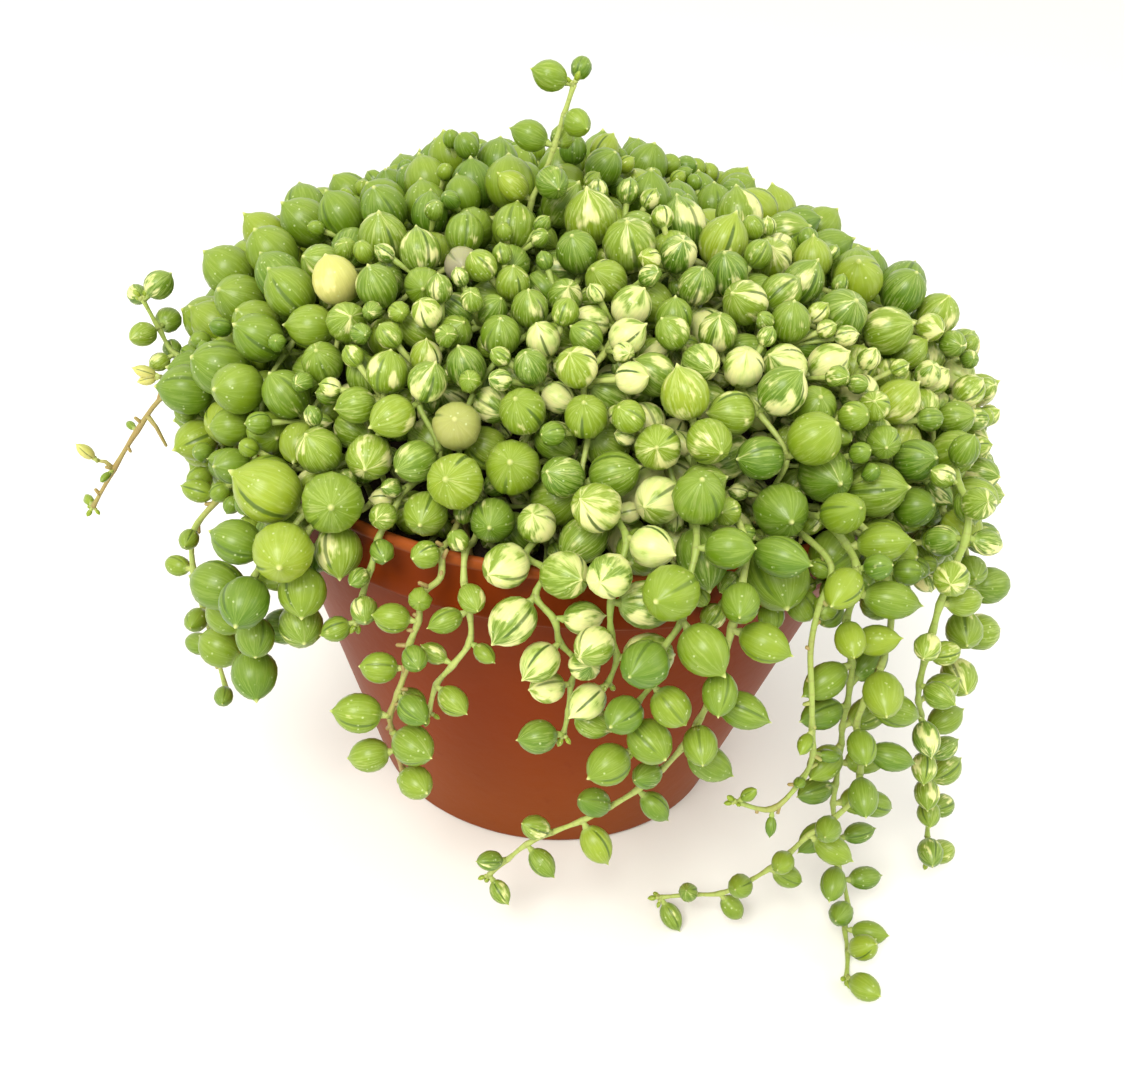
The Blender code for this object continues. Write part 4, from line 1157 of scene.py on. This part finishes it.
def stem_look():
    """Pale green stem that browns with age, with faint rings."""
    s = Shader("pearl_stem")
    _, _, run = s.parts("bead")
    chance, old, _ = s.parts("look")
    place = s.place()
    green = s.mix(chance, (0.29, 0.38, 0.075), (0.40, 0.46, 0.12))
    dry = s.between(s.noise(place, 60.0) * 0.8 + old, 0.72, 0.98)
    colour = s.mix(dry * 0.8, green, (0.33, 0.20, 0.075))
    rings = s.math("SINE", run * 2.6, 0.0)
    colour = s.mix(s.between(rings, 0.75, 1.0) * 0.25, colour, (0.22, 0.19, 0.06))
    return s.finish(colour, 0.48, s.noise(place, 700.0, 3.0), 0.0002, subsurface=0.12,
                    radius=(0.8, 1.0, 0.3), scale=0.0015, ior=1.42)


def pot_look():
    """Terracotta plastic, lighter and pinker towards the foot, with a painted highlight along the lip and a
    worn line at the collar's edge.
    """
    s = Shader("terracotta_plastic_look")
    place = s.place()
    height = s.split(place)[2]
    cloud = s.noise(place, 16.0, 3.0)
    fine = s.noise(place, 260.0, 3.0)
    colour = s.mix(cloud, (0.160, 0.021, 0.0004), (0.198, 0.030, 0.0008))
    # Lighter and pinker towards the foot
    colour = s.mix(s.between(height, POT_HEIGHT * MM * 0.6, 0.0) * 0.35, colour, (0.27, 0.082, 0.016))
    colour = s.mix(s.between(fine, 0.62, 0.74) * 0.25, colour, (0.15, 0.020, 0.002))
    ring = abs(height - (POT_HEIGHT - COLLAR_DEPTH + 0.25) * MM)
    worn = s.between(ring, 0.00045, 0.0001) * s.between(s.noise(place, 70.0, 3.0), 0.45, 0.65)
    colour = s.mix(worn * 0.5, colour, (0.55, 0.27, 0.14))
    # Painted highlight: a thin brighter band along the lip, where light catches its edge
    lip = s.between(height, (POT_HEIGHT - LIP_DEPTH - 0.5) * MM, (POT_HEIGHT - LIP_DEPTH + 0.6) * MM)
    colour = s.mix(lip * 0.5, colour, (0.46, 0.12, 0.030))
    return s.finish(colour, cloud * 0.15 + 0.34, fine, 0.00010, ior=1.35, specular=0.1)


def soil_look():
    """Dark potting soil with paler crumbs."""
    s = Shader("potting_soil_look")
    place = s.place()
    bits = s.noise(place, 320.0, 4.0, 0.65)
    colour = s.mix(bits, (0.018, 0.011, 0.007), (0.085, 0.052, 0.030))
    colour = s.mix(s.between(s.noise(place, 90.0, 3.0), 0.55, 0.7), colour, (0.12, 0.080, 0.045))
    return s.finish(colour, 0.9, bits, 0.0012)


def floor_look():
    s = Shader("floor_look")
    return s.finish(s.mix(s.noise(s.place(), 1.3), (0.90, 0.895, 0.84), (0.93, 0.925, 0.87)), 0.75)


def revolved(name, rings, sides, look, wobble=0.0):
    """A closed body turned round Z from radius and height pairs.

    The first and the last pair lie on the axis."""
    vertices = []
    for number, (radius, height) in enumerate(rings[1:-1]):
        for side in range(sides):
            angle = math.tau * side / sides
            lift = wobble * (waver(number * 211 + side) - 0.5)
            vertices.append((radius * math.cos(angle), radius * math.sin(angle), height + lift))
    count = len(vertices)
    vertices += [(0.0, 0.0, rings[0][1]), (0.0, 0.0, rings[-1][1])]
    vertices = [tuple(axis * MM for axis in vertex) for vertex in vertices]
    return new_body(name, vertices, ring_faces(len(rings) - 2, sides, count, count + 1), [look])


def build_pot():
    """The shell with its real edge radii and a shallow moulding line under the lip."""
    base = RIM_RADIUS * BASE_SHARE
    collar_bottom = POT_HEIGHT - COLLAR_DEPTH
    wall_top = RIM_RADIUS - COLLAR_STEP
    edge = RIM_RADIUS - COLLAR_DRAFT
    inner = edge - WALL
    lip = POT_HEIGHT - LIP_DEPTH
    rings = [(0.0, 0.6), (base * 0.5, 0.6), (base - 5.0, 0.6), (base - 4.4, 0.0)]
    rings.append((base - FOOT_CHAMFER, 0.0))
    for share in (0.35, 0.7, 1.0):
        turn = share * math.pi / 2
        rings.append((base - FOOT_CHAMFER * (1 - math.sin(turn)), FOOT_CHAMFER * (1 - math.cos(turn))))
    for share in (0.15, 0.4, 0.7, 0.97):
        height = FOOT_CHAMFER + (collar_bottom - 1.6 - FOOT_CHAMFER) * share
        rings.append((base + (wall_top - base) * share, height))
    rings += [(wall_top + 0.15, collar_bottom - 1.1), (wall_top + 0.6, collar_bottom - 0.5)]
    collar = ((1.6, 0.0), (0.7, 0.05), (0.15, 0.45), (0.0, 1.1), (-0.05, 4.0))
    rings += [(edge - inwards, collar_bottom + up) for inwards, up in collar]
    rings += [(RIM_RADIUS - LIP_PROUD, lip - 0.35), (RIM_RADIUS - 0.35, lip), (RIM_RADIUS, lip + 0.5)]
    rim = ((0.0, 0.8), (0.25, 0.25), (0.7, 0.0), (WALL, 0.05), (WALL + 0.45, 0.5))
    rings += [(RIM_RADIUS - inwards, POT_HEIGHT - down) for inwards, down in rim]
    rings += [(inner, POT_HEIGHT - 4.0), (inner, collar_bottom + WALL), (wall_top - WALL, collar_bottom),
              (base - WALL, FLOOR_THICKNESS), (0.0, FLOOR_THICKNESS)]
    body = revolved("pot_shell", rings, POT_SIDES, pot_look())
    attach(body, "root")
    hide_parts("pot")


def build_soil():
    """The soil with a lumpy surface."""
    base = RIM_RADIUS * BASE_SHARE
    collar_bottom = POT_HEIGHT - COLLAR_DEPTH
    edge = POT_HEIGHT - SOIL_BELOW_RIM
    wide = RIM_RADIUS - WALL - COLLAR_DRAFT - 2 * CLEARANCE
    bottom = FLOOR_THICKNESS + CLEARANCE
    rings = [(0.0, bottom), (base - WALL - 2 * CLEARANCE, bottom),
             (RIM_RADIUS - COLLAR_STEP - WALL - 2 * CLEARANCE, collar_bottom + CLEARANCE),
             (wide, collar_bottom + WALL + 2 * CLEARANCE), (wide, edge - 0.5)]
    for step in range(1, SOIL_RINGS):
        share = 1 - step / SOIL_RINGS
        rings.append((wide * share, edge + SOIL_CROWN * (1 - share**2) - SOIL_SUNK))
    rings.append((0.0, edge + SOIL_CROWN - SOIL_SUNK))
    body = revolved("soil_fill", rings, SOIL_SIDES, soil_look(), SOIL_WOBBLE)
    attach(body, "root")
    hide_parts("soil")


def build_plant():
    """All strands, each in place of its CAD node."""
    layout = Layout(mound_plan() + trail_plan())
    layout.settle()
    layout.fit()
    thick = stem_thickness(layout)
    looks = [leaf_look(), stem_look()]
    extras = extra_leaves(layout)
    odd = odd_leaves(layout)
    for which in range(len(layout.strands)):
        own = [extra for extra in extras if layout.owner[extra[0]] == which]
        build_strand(layout, which, own, thick, odd, looks)


# The camera looks down at the pot from close by, slightly rolled
CAMERA_AT = (0.0, -0.2352, 0.1974)
CAMERA_DOWN = 31.5
CAMERA_ROLL = 5.0
LENS = 37.76

FLOOR_HALF = 6.0


def place_camera():
    """A camera that looks down at the front of the plant, rolled a little."""
    down, roll = math.radians(CAMERA_DOWN), math.radians(CAMERA_ROLL)
    ahead = Vector((0.0, math.cos(down), -math.sin(down)))
    up = Vector((0.0, math.sin(down), math.cos(down)))
    right = Vector((1.0, 0.0, 0.0))
    across = right * math.cos(roll) + up * math.sin(roll)
    upward = up * math.cos(roll) - right * math.sin(roll)
    view = bpy.data.cameras.new("camera")
    view.lens = LENS
    view.sensor_width = 36.0
    view.sensor_fit = "HORIZONTAL"
    view.clip_start = 0.01
    view.clip_end = 50.0
    camera = bpy.data.objects.new("camera", view)
    turn = Matrix((across, upward, -ahead)).transposed().to_4x4()
    camera.matrix_world = Matrix.Translation(CAMERA_AT) @ turn
    bpy.context.scene.collection.objects.link(camera)
    bpy.context.scene.camera = camera


def add_light(name, at, size, power, colour):
    """A round lamp that shines on the middle of the plant."""
    lamp = bpy.data.lights.new(name, "AREA")
    lamp.shape = "DISK"
    lamp.size = size
    lamp.energy = power
    lamp.color = colour
    body = bpy.data.objects.new(name, lamp)
    at, target = Vector(at), Vector((0.0, 0.0, 0.09))
    body.matrix_world = Matrix.Translation(at) @ (at - target).to_track_quat("Z", "Y").to_matrix().to_4x4()
    bpy.context.scene.collection.objects.link(body)


def set_stage():
    """A wide pale floor, soft light from all round and a large lamp above the front."""
    corners = ((-1, -1), (1, -1), (1, 1), (-1, 1))
    corners = [(x * FLOOR_HALF, y * FLOOR_HALF, 0.0) for x, y in corners]
    floor = new_body("floor", corners, [(0, 1, 2, 3)], [floor_look()])
    world = bpy.data.worlds.new("studio")
    world.use_nodes = True
    background = world.node_tree.nodes["Background"]
    background.inputs["Color"].default_value = (1.0, 1.0, 0.985, 1.0)
    background.inputs["Strength"].default_value = 1.10
    bpy.context.scene.world = world
    add_light("front_lamp", (-0.25, -0.75, 0.85), 0.50, 10.5, (1.0, 0.985, 0.93))
    add_light("side_lamp", (0.9, -0.3, 0.7), 0.6, 2.0, (1.0, 0.98, 0.96))
    bpy.context.scene.view_settings.view_transform = "Standard"


build_pot()
build_soil()
build_plant()
set_stage()
place_camera()
